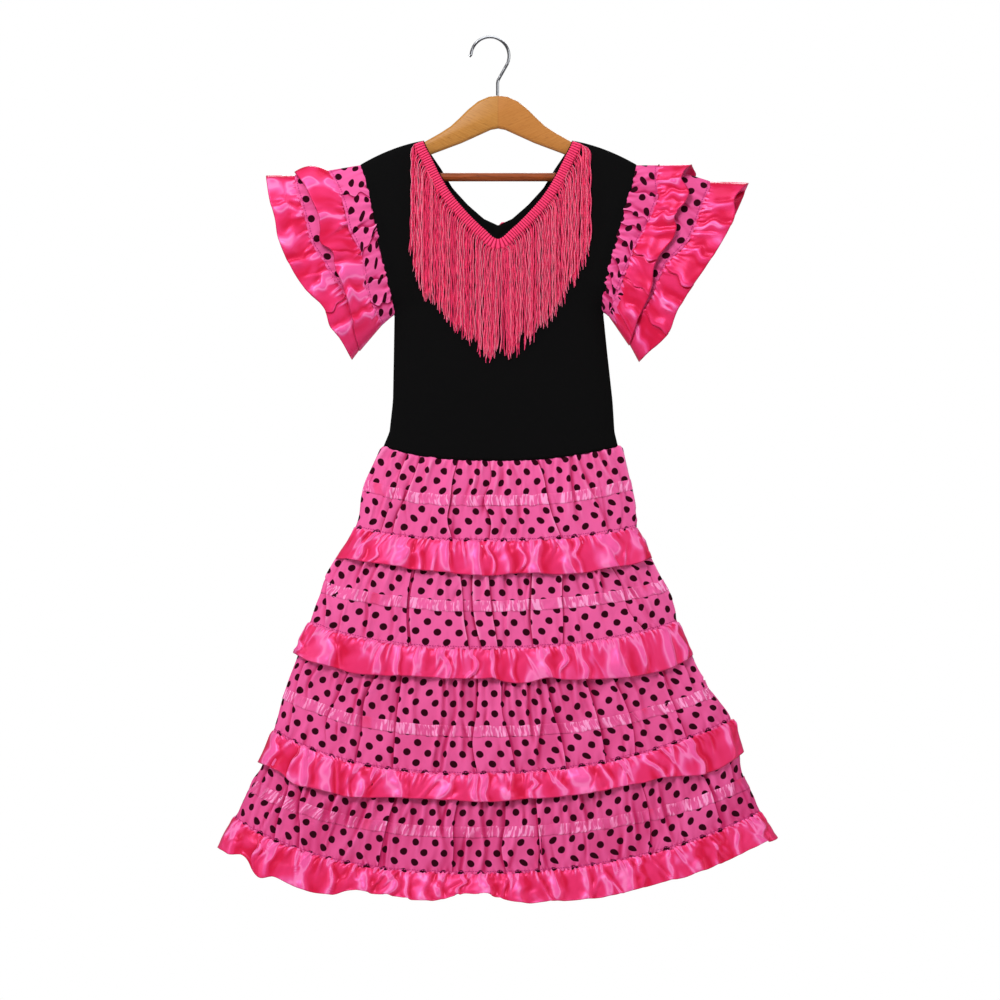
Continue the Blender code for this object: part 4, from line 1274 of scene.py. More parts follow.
@dataclass
class Sleeve:
    """A short sleeve of two dotted bands, each with a broad satin ruffle at its edge."""

    side: Side
    # Lines across the sleeve, from the shoulder to the underarm: x outward from the middle, height.
    armhole: Line
    seam_1: Line
    edge_1: Line
    seam_2: Line
    hem: Line
    # Folds: height at the seam and at the edge, height out, half width, lean, and its lap, if any.
    upper_folds: Table
    ruffle_1_folds: Table
    ruffle_2_folds: Table
    # How proud the cotton's and the satin's fold values start: a lower value paints them darker, as painted
    # shade.
    tone: float = 0.5
    satin_tone: float = 0.34
    # Bulges of each ruffle's free edge: where along it, how far, outward positive, over how wide,
    # and the face.
    curls_1: list[tuple[float, float, float, Face]] = field(default_factory=list)
    curls_2: list[tuple[float, float, float, Face]] = field(default_factory=list)
    # How far the upper ruffle arches up at the shoulder.
    crown: float = 0.0
    steps: tuple[float, float] = (1.4, 1.75)
    row_step: float = 1.8
    # The middle of the sleeve's height, twice, about which the back's folds mirror the front's.
    mirror_shift: float = -447.0
    satin_thickness: float = 0.45
    # Half depth at the armhole, the two seams and the hem.
    depths: tuple[float, float, float, float] = (13.0, 20.0, 26.0, 31.0)

    def surface(self, lines: list[Line], depths: list[float], shares: Array, angles: Array) -> Array:
        """Points between two lines across the sleeve.

        Args:
            lines: The line nearer the body and the farther one.
            depths: The tube's half depth at each.
            shares: Each row's share of the way.
            angles: The columns' angles, positive toward the shoulder.

        Returns:
            Rows by columns of points.
        """
        along, across = ring_place(angles)
        near, far = (line_through(line, (1 - along) / 2) for line in lines)
        part = shares[:, None, None]
        flat = near * (1 - part) + far * part
        grown = np.sign(shares) * np.abs(shares) ** 0.7
        depth = (depths[0] + (depths[1] - depths[0]) * grown)[:, None]
        return np.stack([self.side.value * flat[..., 0], depth * across, flat[..., 1]], axis=-1)

    def curled(self, points: Array, shares: Array, angles: Array, curls: list) -> Array:
        """Bulges a ruffle's free edge out of line where it curls.

        Args:
            points: The ruffle's points.
            shares: Each row's share of the way to the free edge.
            angles: The columns' angles.
            curls: The ruffle's curls.

        Returns:
            The moved points.
        """
        along, across = ring_place(angles)
        part = np.clip(shares, 0.0, 1.0)[:, None]
        for place, reach, width, face in curls:
            on_face = np.clip((across if face is Face.BACK else -across) / 0.35, 0.0, 1.0)
            push = reach * bell(along - place, width) * on_face * part
            points[:, :, 0] += self.side.value * push
        if curls is self.curls_1:
            points[:, :, 2] += self.crown * 4 * part * (1 - part) * bell(along - 1.0, 0.16)
        return points

    def tube(
        self, lines: list[Line], depths: list[float], length: float, folds: Table, loose: bool,
        curls: list | None = None,
    ) -> ClothTube:
        """One band or ruffle with its folds.

        Args:
            lines: The lines that it runs between.
            depths: The tube's half depth at each line.
            length: Its usual length away from the body.
            folds: Its table of folds.
            loose: Whether its far edge hangs free.
            curls: Its curls.

        Returns:
            The folded tube.
        """
        heading = 2.6 / length if loose else 0.0
        shares = np.linspace(-heading, 1.0, round(length / self.row_step))
        made = []
        for at_seam, at_edge, height, width, lean, *laps in folds:
            middle = (at_seam + at_edge) / 2
            # Cotton folds carry a faint painted highlight, satin folds a strong one.
            steep, pleat, glow = 1.6, 0.45 + 0.6 * height, 0.25
            if loose:
                steep, pleat, glow = width * 0.55, sum(laps) / 2.5, 0.65
            fold = Fold(at_seam, middle, at_edge, height, width, steep, lean, pleat, glow=glow)
            made += [fold, fold.mirrored(self.mirror_shift, -lean)]

        def shape(angles: Array) -> Array:
            """The piece's surface, with its curls."""
            points = self.surface(lines, depths, shares, angles)
            return points if curls is None else self.curled(points, shares, angles, curls)

        tube = ClothTube(shape, 2, made, self.steps, 400 + len(folds))
        # Painted shade: the fold value starts from the cotton's or the satin's base.
        tube.shade += (self.satin_tone if loose else self.tone) - 0.6
        if loose:
            tube.out *= smooth_step(0.12 + 0.88 * tube.share)
        return tube

    def calm(self, tube: ClothTube) -> None:
        """Lets folds die out toward the shoulder line and the underarm, where the tube turns over."""
        at_end = smooth_step((np.abs(ring_place(tube.angles)[0]) - 0.8) / 0.2)
        tube.out *= 1 - 0.94 * at_end

    def build(self, dotted: Material, satin: Material) -> None:
        """Makes and dresses the sleeve's four pieces."""
        seed = 210 if self.side is Side.RIGHT else 200
        name = f"sleeve_{self.side.name.lower()}"
        upper, lower = name + "_upper", name + "_lower"
        band = self.upper_band(seed)
        sew(upper, "_cloth", "dotted_cloth", band, dotted)
        gathers = round(band.around.mean() / 8)
        sew(lower, "_cloth", "dotted_cloth", self.lower_band(seed, gathers), dotted)
        _, first, second, hem = self.depths
        ruffles = (
            (upper, self.seam_1, self.edge_1, first, second + 5.0, 36.0, self.ruffle_1_folds, self.curls_1),
            (lower, self.seam_2, self.hem, second, hem + 3.0, 38.0, self.ruffle_2_folds, self.curls_2),
        )
        for index, (node, near, far, depth, end_depth, length, folds, curls) in enumerate(ruffles):
            tube = self.tube([near, far], [depth - 0.4, end_depth], length, folds, True, curls)
            # Creases, gathers and swells paint highlight on their crests and shade between them.
            tube.crease(7, depth=1.5, reach=22.0, slant=0.3, seed=seed + 14 + index, glow=0.3, gloom=0.2)
            count = round(tube.around.mean() / 6.0)
            tube.gather(count, depth=2.1, reach=6.6, seed=seed + 7 + index, glow=0.95, gloom=0.24)
            tube.roll((22.0, 30.0), depth=0.7, seed=seed + 9 + index, glow=0.14)
            tube.out *= smooth_step(tube.down / 3.2)
            tube.out = np.maximum(tube.out, -2.0)
            self.calm(tube)
            sew(node + "_ruffle", "_satin", "satin", tube, satin, self.satin_thickness)

    def upper_band(self, seed: int) -> ClothTube:
        """The folded upper band, gathered at both ends and scalloped where it is sewn in."""
        arm, first, _, _ = self.depths
        band = self.tube([self.armhole, self.seam_1], [arm + 0.5, first], 34.0, self.upper_folds, False)
        around = band.around.mean()
        count = round(around / 8)
        # Gathers, creases and swells paint highlight on their crests and shade between them.
        band.gather(count, depth=1.6, reach=10.0, seed=seed, glow=0.3, gloom=0.12)
        band.gather(count, depth=1.1, reach=9.0, seed=seed + 1, at_end=True, glow=0.25, gloom=0.12)
        band.crease(14, depth=1.3, reach=22.0, slant=0.5, seed=seed + 12, glow=0.2, gloom=0.3)
        band.roll((26.0, 40.0), depth=1.4, seed=seed + 2, glow=0.06)
        scallop = soft_noise(band.arc + 999, band.down * 0, (7.0, 9.0), around, seed + 3)
        band.base[:, :, 0] += self.side.value * (scallop - 1.0) * bell(band.down, 5.0)
        self.calm(band)
        return band

    def lower_band(self, seed: int, gathers: int) -> ClothTube:
        """The folded lower band, with that many gathers at each end."""
        _, first, second, _ = self.depths
        band = self.tube([self.seam_1, self.seam_2], [first - 1.0, second], 40.0, [], False)
        # Gathers, creases and swells paint highlight on their crests and shade between them.
        band.gather(gathers, depth=0.8, reach=9.0, seed=seed + 4, glow=0.2, gloom=0.1)
        band.gather(gathers, depth=1.0, reach=9.0, seed=seed + 5, at_end=True, glow=0.25, gloom=0.14)
        band.crease(12, depth=1.0, reach=20.0, slant=0.5, seed=seed + 13, glow=0.2, gloom=0.3)
        band.roll((22.0, 40.0), depth=1.1, seed=seed + 6, glow=0.06)
        return band


def left_sleeve() -> Sleeve:
    """The sleeve at the left in front view."""
    return Sleeve(
        side=Side.LEFT,
        crown=6.0,
        armhole=[(150.7, -139.2), (142, -178), (131.5, -226), (121, -272), (113.3, -303)],
        seam_1=[
            (187, -145.5), (175, -168), (168, -190), (163, -213), (153, -232), (147, -254), (143, -282),
            (137, -296), (127.6, -315.5),
        ],
        edge_1=[
            (224, -147), (212, -163), (203.5, -180), (197, -194), (194.5, -209), (193.5, -227),
            (182, -235), (178, -254), (171, -272), (165, -289), (160, -307), (157, -325), (152, -344),
        ],
        seam_2=[
            (223, -151), (222, -164.5), (217, -179.5), (212, -197.5), (207, -216), (203, -229),
            (193, -244), (185, -258), (176, -270), (170, -280), (156, -304), (139, -325),
        ],
        hem=[
            (255, -151.3), (249.7, -179.8), (244, -199.7), (239.8, -222.8), (227.7, -250.8), (211, -276.7),
            (189, -300), (183.5, -318), (172.7, -332), (160.5, -353.5),
        ],
        upper_folds=[
            (-176, -170, 0.9, 6, -1), (-206, -219, 1.7, 6, 1), (-214, -240, 1.3, 6, -1),
            (-262, -272, 1.1, 6, 1), (-288, -292, 1.2, 5, -1),
        ],
        ruffle_1_folds=[
            (-162, -160, 2, 12, 1), (-196, -200, 3, 5, 1), (-238, -234, 4, 10, 1, 9),
            (-254, -262, 5, 12, 1), (-276, -290, 4, 8, 1), (-296, -318, 4, 6, 1),
        ],
        ruffle_2_folds=[
            (-160, -158, 2, 14, 1), (-188, -190, 4, 6, 1), (-214, -229, 5, 13, 1), (-238, -252, 4, 6, 1),
            (-262, -284, 4, 7, 1), (-284, -304, 3, 5, -1, 6), (-304, -322, 4, 7, 1),
        ],
    )


def right_sleeve() -> Sleeve:
    """The sleeve at the right in front view."""
    return Sleeve(
        side=Side.RIGHT,
        # This sleeve is painted darker than the other, as painted shade.
        tone=0.4,
        satin_tone=0.2,
        curls_1=[(0.86, 16.0, 0.1, Face.BACK)],
        curls_2=[(0.84, -10.0, 0.13, Face.FRONT)],
        armhole=[
            (152.6, -139.6), (147, -164), (137.5, -201.5), (128.7, -234.5), (119.6, -262), (114.5, -300),
        ],
        seam_1=[
            (176, -139.5), (175, -155), (176, -172), (172, -187), (166, -201), (158, -217), (150, -232),
            (144, -248), (137, -266), (130, -284), (122, -306),
        ],
        edge_1=[
            (213, -138.5), (204, -147), (201, -156), (206, -164), (209, -171), (204, -183), (196, -191),
            (193, -200), (195, -211), (190, -224), (184, -231), (171, -252), (168, -277), (156, -304),
            (144, -338),
        ],
        seam_2=[
            (233, -158), (232, -166.5), (228, -175.6), (222, -192), (216, -208), (210, -222), (200, -234),
            (187, -247), (178, -262), (168, -284), (155, -306), (140, -328),
        ],
        hem=[
            (275.7, -159.5), (269.5, -176.5), (255, -207), (239.8, -233.8), (224.4, -257), (215, -271),
            (201.3, -292), (192.5, -309.7), (188, -323), (180, -333), (167, -344), (155, -356),
        ],
        upper_folds=[
            (-171, -175, 1.1, 6, 1), (-191, -202, 1.5, 6, -1), (-203, -213, 1.2, 6, -1),
            (-218, -240, 1.5, 6, -1), (-238, -262, 1.3, 6, -1), (-258, -280, 1.3, 5, -1),
            (-276, -292, 1.2, 5, -1),
        ],
        ruffle_1_folds=[
            (-156, -157, 4, 5, 1), (-175, -175, 4, 5, 1), (-197, -198, 4, 5, 1), (-212, -214, 4, 5, 1),
            (-234, -246, 6, 11, -1, 10), (-262, -282, 5, 10, -1, 8), (-288, -308, 4, 8, 1),
        ],
        ruffle_2_folds=[
            (-182, -184, 4, 5, 1), (-207, -210, 4, 6, 1), (-228, -246, 4, 7, 1),
            (-250, -276, 6, 14, -1, 12), (-276, -300, 5, 8, 1), (-300, -326, 4, 8, -1, 7),
            (-318, -346, 4, 7, 1),
        ],
    )


# ---- Bodice, braid and fringe


@dataclass
class Bodice:
    """Front and back panels of black knit, joined at the shoulders and sides."""

    wall: float = 1.2
    rows: int = 64
    columns: int = 34
    flat: tuple[float, float] = (0.305, 0.352)
    flat_area: float = 0.0735
    # How soon the waist sags on each side, and the half depth at the armhole.
    sag_powers: dict[Side, float] = field(default_factory=lambda: {Side.LEFT: 2.8, Side.RIGHT: 2.1})
    arm_depth: float = 13.0
    # The armhole's ends: x and height at the shoulder, then at the underarm.
    armholes: dict[Side, tuple[float, ...]] = field(default_factory=lambda: {
        Side.LEFT: (150.7, -139.2, 113.3, -303.0),
        Side.RIGHT: (151.8, -139.2, 115.0, -300.0),
    })
    # The row at which the neckline comes to its point.
    tip_row: int = 8
    # From the shoulder to the waist. arm is the place down the armhole, 1 at the shoulder and -1 at the
    # underarm, and the side seam below it is side_z with the half widths.
    table: list[tuple] = field(default_factory=lambda: [
        # arm, side_z, left, right, neck_x, neck_z, back_x, back_z, depth, bow
        (1, 0, 0, 0, 81.4, -112.9, 81.4, -112.9, 0.03, 3.6),
        (0.99, 0, 0, 0, 81.1, -113.7, 81.1, -113.7, 4.6, 3.6),
        (0.945, 0, 0, 0, 79.7, -117.5, 79.7, -117.5, 7.6, 3.4),
        (0.78, 0, 0, 0, 73.4, -129.8, 72.8, -127.8, 9.2, 1.8),
        (0.53, 0, 0, 0, 63.3, -150.2, 62.2, -143.4, 10.4, 0),
        (0.27, 0, 0, 0, 50.6, -171, 50, -163.8, 11.4, 0),
        (-0.02, 0, 0, 0, 33, -192, 33, -182.3, 12.4, 0),
        (-0.36, 0, 0, 0, 14.6, -209.8, 15.6, -197.4, 13.2, 0),
        (-0.7, 0, 0, 0, 0, -220.6, 0, -204.6, 13.8, 0),
        (-1, 0, 0, 0, 0, -262, 0, -256, 14.6, 0),
        (None, -345, 114, 119.5, 0, -338, 0, -336, 15.4, 0),
        (None, -399, 115, 125.5, 0, -404, 0, -404, 16, 0),
        (None, -433, 118.8, 127.6, 0, -446, 0, -446, 16.5, 0),
        (None, -449, 125.4, 131.5, 0, -464.8, 0, -464.8, 17, 0),
    ])

    def row_values(self, side: Side, face: Face) -> Array:
        """Each table row as inner x and z, outer x and z, outer and inner depth, bow and sag."""
        top_x, top_z, under_x, under_z = self.armholes[side]
        made = []
        for arm, side_z, left, right, neck_x, neck_z, back_x, back_z, depth, bow in self.table:
            inner = (neck_x, neck_z) if face is Face.FRONT else (back_x, back_z)
            if arm is None:
                outer = (left if side is Side.LEFT else right, side_z)
                made.append((*inner, *outer, 0.0, depth, bow, 1.0))
                continue
            outer = (
                under_x + (top_x - under_x) * (arm + 1) / 2,
                under_z + (top_z - under_z) * (arm + 1) / 2,
            )
            edge = self.arm_depth * (1 - abs(arm) ** RING_POWER) ** (1 / RING_POWER)
            made.append((*inner, *outer, edge, depth, bow, 0.0))
        return np.array(made)

    def half(self, side: Side, face: Face, rows: Array, shares: Array) -> Array:
        """Points of half a panel.

        Args:
            side: Which half.
            face: Which panel.
            rows: Places down the table, 0 at the shoulder.
            shares: Places out from the neckline or middle, to 1 at the edge.

        Returns:
            Rows by shares of points.
        """
        values = self.row_values(side, face)
        knots = np.arange(len(values))
        read = np.stack([np.interp(rows, knots, column) for column in values.T])[:, :, None]
        inner_x, inner_z, outer_x, outer_z, edge, depth, bow, sagged = read
        across = (1 - shares**RING_POWER) ** (1 / RING_POWER)
        y = np.maximum(0.02, edge + (depth - edge) * across)
        x = inner_x + (outer_x - inner_x) * shares
        power = 1 + sagged * (self.sag_powers[side] - 1)
        z = inner_z + (outer_z - inner_z) * shares**power + bow * 4 * shares * (1 - shares)
        return np.stack([side.value * x, -y if face is Face.FRONT else y, z], axis=-1)

    def outward(self, points: Array, face: Face) -> Array:
        """Directions out of half a panel."""
        made = np.cross(np.gradient(points, axis=0), np.gradient(points, axis=1))
        made /= np.maximum(np.linalg.norm(made, axis=2), 1e-9)[:, :, None]
        wanted = -1 if face is Face.FRONT else 1
        near_middle = made[-3, 2, 1]
        return made * (np.sign(near_middle) * wanted)

    def panel(self, face: Face, finish: Material) -> None:
        """Makes one panel as a closed sheet."""
        rows = np.linspace(0.0, len(self.table) - 1.0, self.rows)
        tip = np.argmin(np.abs(rows - self.tip_row))
        rows[tip] = self.tip_row
        shares = np.sin(np.linspace(0, math.pi / 2, self.columns))
        seed = 300 + (face is Face.BACK)
        around, waist = 800.0, -460.0
        points, faces = [], []
        for side in Side:
            grid = self.half(side, face, rows, shares)
            out = self.outward(grid, face)
            across, fall = np.abs(grid[:, :, 0]), -grid[:, :, 2]
            along = side.value * across + around / 2
            soft = soft_noise(along, fall, (45.0, 60.0), around, seed)
            creases = soft_noise(along, fall + 0.6 * across, (16.0, 40.0), around, seed + 5)
            at_waist = bell(grid[:, :, 2] - waist, 22.0)
            fade = np.sin(math.pi * shares)[None, :] * smooth_step(rows[:, None] / 3)
            swell = (0.9 * soft + 0.45 * creases * (0.4 + at_waist)) * fade
            grid = grid + out * (swell + self.wall / 2)[:, :, None]
            index = np.arange(self.rows * self.columns).reshape(self.rows, -1) + len(points) * across.size
            points.append(grid.reshape(-1, 3))
            quads = np.stack([index[:-1, :-1], index[1:, :-1], index[1:, 1:], index[:-1, 1:]], axis=-1)
            if (side is Side.LEFT) == (face is Face.FRONT):
                quads = quads[..., ::-1]
            faces.append(quads.reshape(-1, 4))
        points, faces = np.concatenate(points), np.concatenate(faces)
        # The halves share the middle line from the neckline's point down.
        middle = np.arange(tip, self.rows) * self.columns
        remap = np.arange(len(points))
        remap[middle + self.rows * self.columns] = middle
        faces = remap[faces]
        uv = points[faces][..., (0, 2)].reshape(-1, 2) * MM
        name = f"bodice_{face.value}"
        made = mesh_object(name + "_panel", points, faces, uv)
        edit_all(made, bpy.ops.mesh.delete_loose)
        thicken(made, self.wall - 0.1)
        declare(made, "black_knit", finish, name)

    def build(self, finish: Material) -> None:
        """Makes both panels."""
        for face in Face:
            self.panel(face, finish)


class PanelSkin:
    """Finds the front or back panel's surface under a point, for what is sewn to it."""

    def __init__(self, bodice: Bodice, face: Face) -> None:
        """Samples the panel finely."""
        rows = np.linspace(0.0, len(bodice.table) - 1, 400)
        shares = np.sin(np.linspace(0, math.pi / 2, 90))
        halves = [bodice.half(side, face, rows, shares) for side in Side]
        self.points = np.concatenate(halves).reshape(-1, 3)
        self.sign = -1 if face is Face.FRONT else 1

    def depth_at(self, x: Array, z: Array) -> Array:
        """The panel's y under each (x, z), the nearest sample's."""
        found = np.empty(len(x))
        for index, (px, pz) in enumerate(zip(x, z)):
            nearest = np.argmin((self.points[:, 0] - px) ** 2 + (self.points[:, 2] - pz) ** 2)
            found[index] = self.points[nearest, 1]
        return found


@dataclass
class NeckTrim:
    """Ribbed braid round the neckline, with a long fringe at the front."""

    # The braid: its width, how far inside the neckline it starts, its ribs and how far out it lies.
    width: float = 10.5
    inset: float = 1.2
    rib: float = 2.7
    rib_height: float = 1.25
    samples_a_rib: int = 6
    stand_off: float = 1.2
    thickness: float = 2.0
    # The fringe. Its under layer has thicker threads, painted darker as painted shade, which close the gaps
    # between the others.
    threads_a_layer: int = 116
    layers: int = 3
    layer_gap: float = 0.95
    thread_radius: float = 0.58
    under_layer_growth: float = 1.45
    thread_rows: int = 30
    thread_sides: int = 3
    fringe_sides: tuple[float, float] = (-95.0, 101.0)
    # How far the threads swing apart below the neckline's point, and the x where they do.
    parting: tuple[float, float] = (4.6, 5.0)
    # Lower end of the fringe: x from the middle and height.
    fringe_ends: Line = field(default_factory=lambda: [
        (-95, -229), (-92, -250), (-90, -262), (-83, -284), (-76, -282), (-68, -292), (-58, -307.5),
        (-53, -311), (-48, -322), (-41, -320), (-34, -331), (-29, -332), (-25.5, -323), (-22, -338),
        (-15.6, -353), (-9, -351), (-3.6, -352), (1.7, -342), (6.6, -347), (12, -347), (19, -343),
        (22.8, -342), (25.3, -322), (30, -335), (36, -330), (44, -320), (54, -310), (59, -309), (64, -294),
        (70, -291), (77, -272), (84, -267), (90, -254), (94.6, -242), (98, -227), (101, -225),
    ])

    def neck(self, bodice: Bodice, face: Face) -> Array:
        """The neckline from shoulder to shoulder as (x, z), evenly spaced."""
        place = 4 if face is Face.FRONT else 6
        half = np.array([row[place:place + 2] for row in bodice.table[:bodice.tip_row + 1]])
        line = np.concatenate([half * (-1, 1), half[-2::-1]])
        steps = np.concatenate([[0], np.cumsum(np.hypot(*np.diff(line, axis=0).T))])
        count = round(steps[-1] / self.rib) * self.samples_a_rib + 1
        return curve_through(steps, line, np.linspace(0, steps[-1], count))

    def away(self, line: Array) -> Array:
        """The direction away from the opening along the neckline, with its kinks evened out."""
        slope = np.gradient(line, axis=0)
        reach = 2 * self.samples_a_rib
        kernel = np.hanning(2 * reach + 1)
        kernel /= kernel.sum()
        padded = np.pad(slope, ((reach, reach), (0, 0)), mode="edge")
        slope = np.stack([np.convolve(padded[:, axis], kernel, "valid") for axis in (0, 1)], axis=1)
        slope /= np.linalg.norm(slope, axis=1)[:, None]
        return np.stack([slope[:, 1], -slope[:, 0]], axis=1)

    def braid(self, bodice: Bodice, face: Face, finish: Material) -> Array:
        """Makes the braid of one panel.

        Args:
            bodice: The bodice.
            face: The panel.
            finish: The cord's material.

        Returns:
            The points of its lower edge.
        """
        line = self.neck(bodice, face)
        out = self.away(line)
        number = np.arange(len(line))
        ridge = np.abs(np.sin(math.pi * number / self.samples_a_rib)) ** 0.8
        # It is drawn out at the point, where its two arms meet.
        fullness = 1 + 0.12 * bell(number - len(line) // 2, 2.0 * self.samples_a_rib)
        skin = PanelSkin(bodice, face)
        rows = []
        for share in np.linspace(0.0, 1.0, 9):
            across = 2 * share - 1
            reach_out = (self.inset + self.width * share + 0.55 * ridge * across) * fullness
            if face is Face.BACK:
                reach_out -= 3.4 * (1 - share) * bell(line[:, 0] - 5.0, 4.0)
            flat = line + out * reach_out[:, None]
            y = skin.depth_at(flat[:, 0], flat[:, 1])
            body = self.thickness * (1 - abs(across) ** 6) * 0.75
            lift = self.stand_off + body + self.rib_height * ridge * (1 - abs(across) ** 4)
            rows.append(np.stack([flat[:, 0], y + skin.sign * lift, flat[:, 1]], axis=1))
        # Two more rows close it behind.
        under = [rows[-1] - (0, skin.sign * 0.5, 0), rows[0] - (0, skin.sign * 0.5, 0)]
        grid = np.array([*rows, *under])
        count, length = grid.shape[:2]
        upper = np.arange(count * length).reshape(count, length)
        lower = np.roll(upper, -1, axis=0)
        quads = np.stack([upper[:, :-1], lower[:, :-1], lower[:, 1:], upper[:, 1:]], axis=-1)
        if face is Face.BACK:
            quads = quads[..., ::-1]
        quads = quads.reshape(-1, 4)
        across, along = np.indices((count, length))
        uv = np.stack([along * self.rib / self.samples_a_rib, across * 1.2], axis=-1)
        uv = uv.reshape(-1, 2)[quads] * MM
        # Painted shade in the grooves between the ribs, lighter on the ribs.
        shade = np.broadcast_to(0.5 * ridge**1.3, (count, length))
        name, nodes = "neck_braid_front", ()
        if face is Face.BACK:
            name, nodes = "neck_braid_back_ribs", ("neck_braid_back",)
        made = mesh_object(name, grid, quads, uv, shade)
        declare(made, "rayon_fringe", finish, *nodes)
        return rows[-1]

    def thread(
        self, random: np.random.Generator, skin: PanelSkin, layer: int, spot: float, start: float,
        top: float, bottom: float, clump: float,
    ) -> tuple[Array, Array]:
        """Shapes one thread of the fringe.

        Args:
            random: Gives its own small turns.
            skin: The knit that it hangs before.
            layer: Its layer, 0 for the one next to the knit.
            spot: The x that it hangs at.
            start: The x at which it leaves the braid.
            top: Height of the braid's edge there.
            bottom: Height of its cut end.
            clump: How far it leans with its neighbours.

        Returns:
            Its points, rows by sides, and each row's shade.
        """
        steps = np.linspace(0.0, 1.0, self.thread_rows)
        z = top + 1.2 + (bottom - top - 1.2) * steps
        fall = z[0] - z
        swing, middle = self.parting
        sway = random.uniform(-1.0, 1.0) + clump
        sway += swing * np.tanh((spot - middle) / 1.5) * bell(spot - middle, 9.0)
        wave, turn = random.uniform(15.0, 34.0), random.uniform(0.0, 6.3)
        wander = random.uniform(0.25, 0.8) * np.sin(fall / wave * 2 * math.pi + turn)
        flick = random.uniform(-2.0, 2.0) * steps**9
        x = spot + (start - spot) * np.exp(-fall / 3.2) + sway * steps**1.3
        x = x + wander * np.minimum(1.0, fall / 12) + flick
        y = skin.depth_at(x, z) - (1.5 + self.layer_gap * layer + random.uniform(-0.4, 0.4))
        y += 0.35 * np.sin(fall / wave * 5.0 + turn * 2)
        y[0] += 0.5
        radius = self.thread_radius * np.where(steps > 0.98, 0.5, 1.0)
        radius = radius * (1.0 if layer else self.under_layer_growth)
        corner = np.arange(self.thread_sides) * 2 * math.pi / self.thread_sides
        ring = np.stack([
            x[:, None] + radius[:, None] * np.cos(corner),
            y[:, None] + radius[:, None] * np.sin(corner),
            np.broadcast_to(z[:, None], (len(z), len(corner))),
        ], axis=-1)
        # Each thread's own pink at random, with the layers nearer the knit painted darker as painted shade.
        own = random.uniform(0.34, 0.92) * (0.46 + 0.27 * layer)
        return ring, np.clip(own + 0.25 * smooth_step((steps - 0.93) / 0.07), 0.0, 1.0)

    def fringe(self, bodice: Bodice, lower_edge: Array, finish: Material) -> None:
        """Makes the front fringe as one joined mesh of thin threads in three layers."""
        random = np.random.default_rng(7)
        skin = PanelSkin(bodice, Face.FRONT)
        end_x, end_z = np.array(self.fringe_ends).T
        edge_x, _, edge_z = lower_edge[np.argsort(lower_edge[:, 0])].T
        steepness = np.gradient(edge_z, edge_x)
        count = self.threads_a_layer
        made = []
        for layer in range(self.layers):
            spots = np.linspace(*self.fringe_sides, count) + random.uniform(-0.75, 0.75, count)
            # Each thread leaves the braid square to it, then bends down.
            sideways = np.interp(spots, edge_x, steepness)
            sideways = np.clip(-sideways / np.hypot(sideways, 1.0), -0.9, 0.9) * (3.0 + 0.7 * layer)
            starts = np.clip(spots + sideways, edge_x[0] + 0.4, edge_x[-1] - 0.4)
            tops = np.interp(starts, edge_x, edge_z)
            bottoms = np.interp(spots, end_x, end_z) + random.normal(0.0, 3.6, count)
            bottoms -= np.where(random.random(count) < 0.06, 7.0, 0.0)
            clumps = 2.0 * soft_noise(spots + 200, spots * 0, (7.0, 9.0), 400.0, 90 + layer)
            made += [
                self.thread(random, skin, layer, *places)
                for places in zip(spots, starts, tops, bottoms, clumps)
            ]
        rings, shades = (np.stack(part) for part in zip(*made))
        index = np.arange(rings.size // 3).reshape(rings.shape[:3])
        after = np.roll(index, -1, axis=2)
        quads = np.stack([index[:, :-1], after[:, :-1], after[:, 1:], index[:, 1:]], axis=-1)
        turn = np.broadcast_to(np.arange(self.thread_sides) * 0.5, index[:, 1:].shape)
        above, below = -rings[:, :-1, :, 2], -rings[:, 1:, :, 2]
        u = np.stack([turn, turn + 0.5, turn + 0.5, turn], axis=-1)
        v = np.stack([above, above, below, below], axis=-1)
        uv = np.stack([u, v], axis=-1)[..., ::-1, :] * MM
        made = mesh_object(
            "fringe_front_threads", rings, quads[..., ::-1].reshape(-1, 4), uv,
            np.repeat(shades, self.thread_sides, axis=1),
        )
        declare(made, "rayon_fringe", finish, "fringe_front")

    def build(self, bodice: Bodice, finish: Material) -> None:
        """Makes the braid on both panels and the fringe."""
        lower_edge = self.braid(bodice, Face.FRONT, finish)
        self.braid(bodice, Face.BACK, finish)
        self.fringe(bodice, lower_edge, finish)


# ---- Hanger and studio


@dataclass
class Hanger:
    """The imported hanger, with its finishes."""

    board: Finish = VarnishedWood("varnished_beech", 0.38)
    bar: Finish = VarnishedWood(
        "stained_beech_dowel", 0.4, light="#9C4C22", dark="#6E3214", fleck="#4A1E0C",
        slope=0.0, two_arms=False,
    )
    hook: Finish = ChromedWire("chromed_steel_wire", 0.2, metallic=1.0)
    merge_distance: float = 0.02

    def build(self) -> None:
        """Dresses the board, the bar and the hook."""
        self.smooth_board()
        for name, finish in (("hanger_bar", self.bar), ("hanger_hook", self.hook)):
            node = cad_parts[name]
            node.data.materials.clear()
            node.data.materials.append(finish.build())
            LOG.info("%s: dressed", name)

    def smooth_board(self) -> None:
        """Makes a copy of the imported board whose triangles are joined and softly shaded."""
        made = bpy.data.objects.new("hanger_board_wood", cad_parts["hanger_board"].data.copy())
        bpy.context.scene.collection.objects.link(made)
        edit_all(made, bpy.ops.mesh.remove_doubles, threshold=self.merge_distance * MM)
        take_up(made)
        bpy.ops.object.shade_smooth_by_angle(angle=math.radians(40))
        made.select_set(False)
        declare(made, "varnished_wood", self.board.build(), "hanger_board")


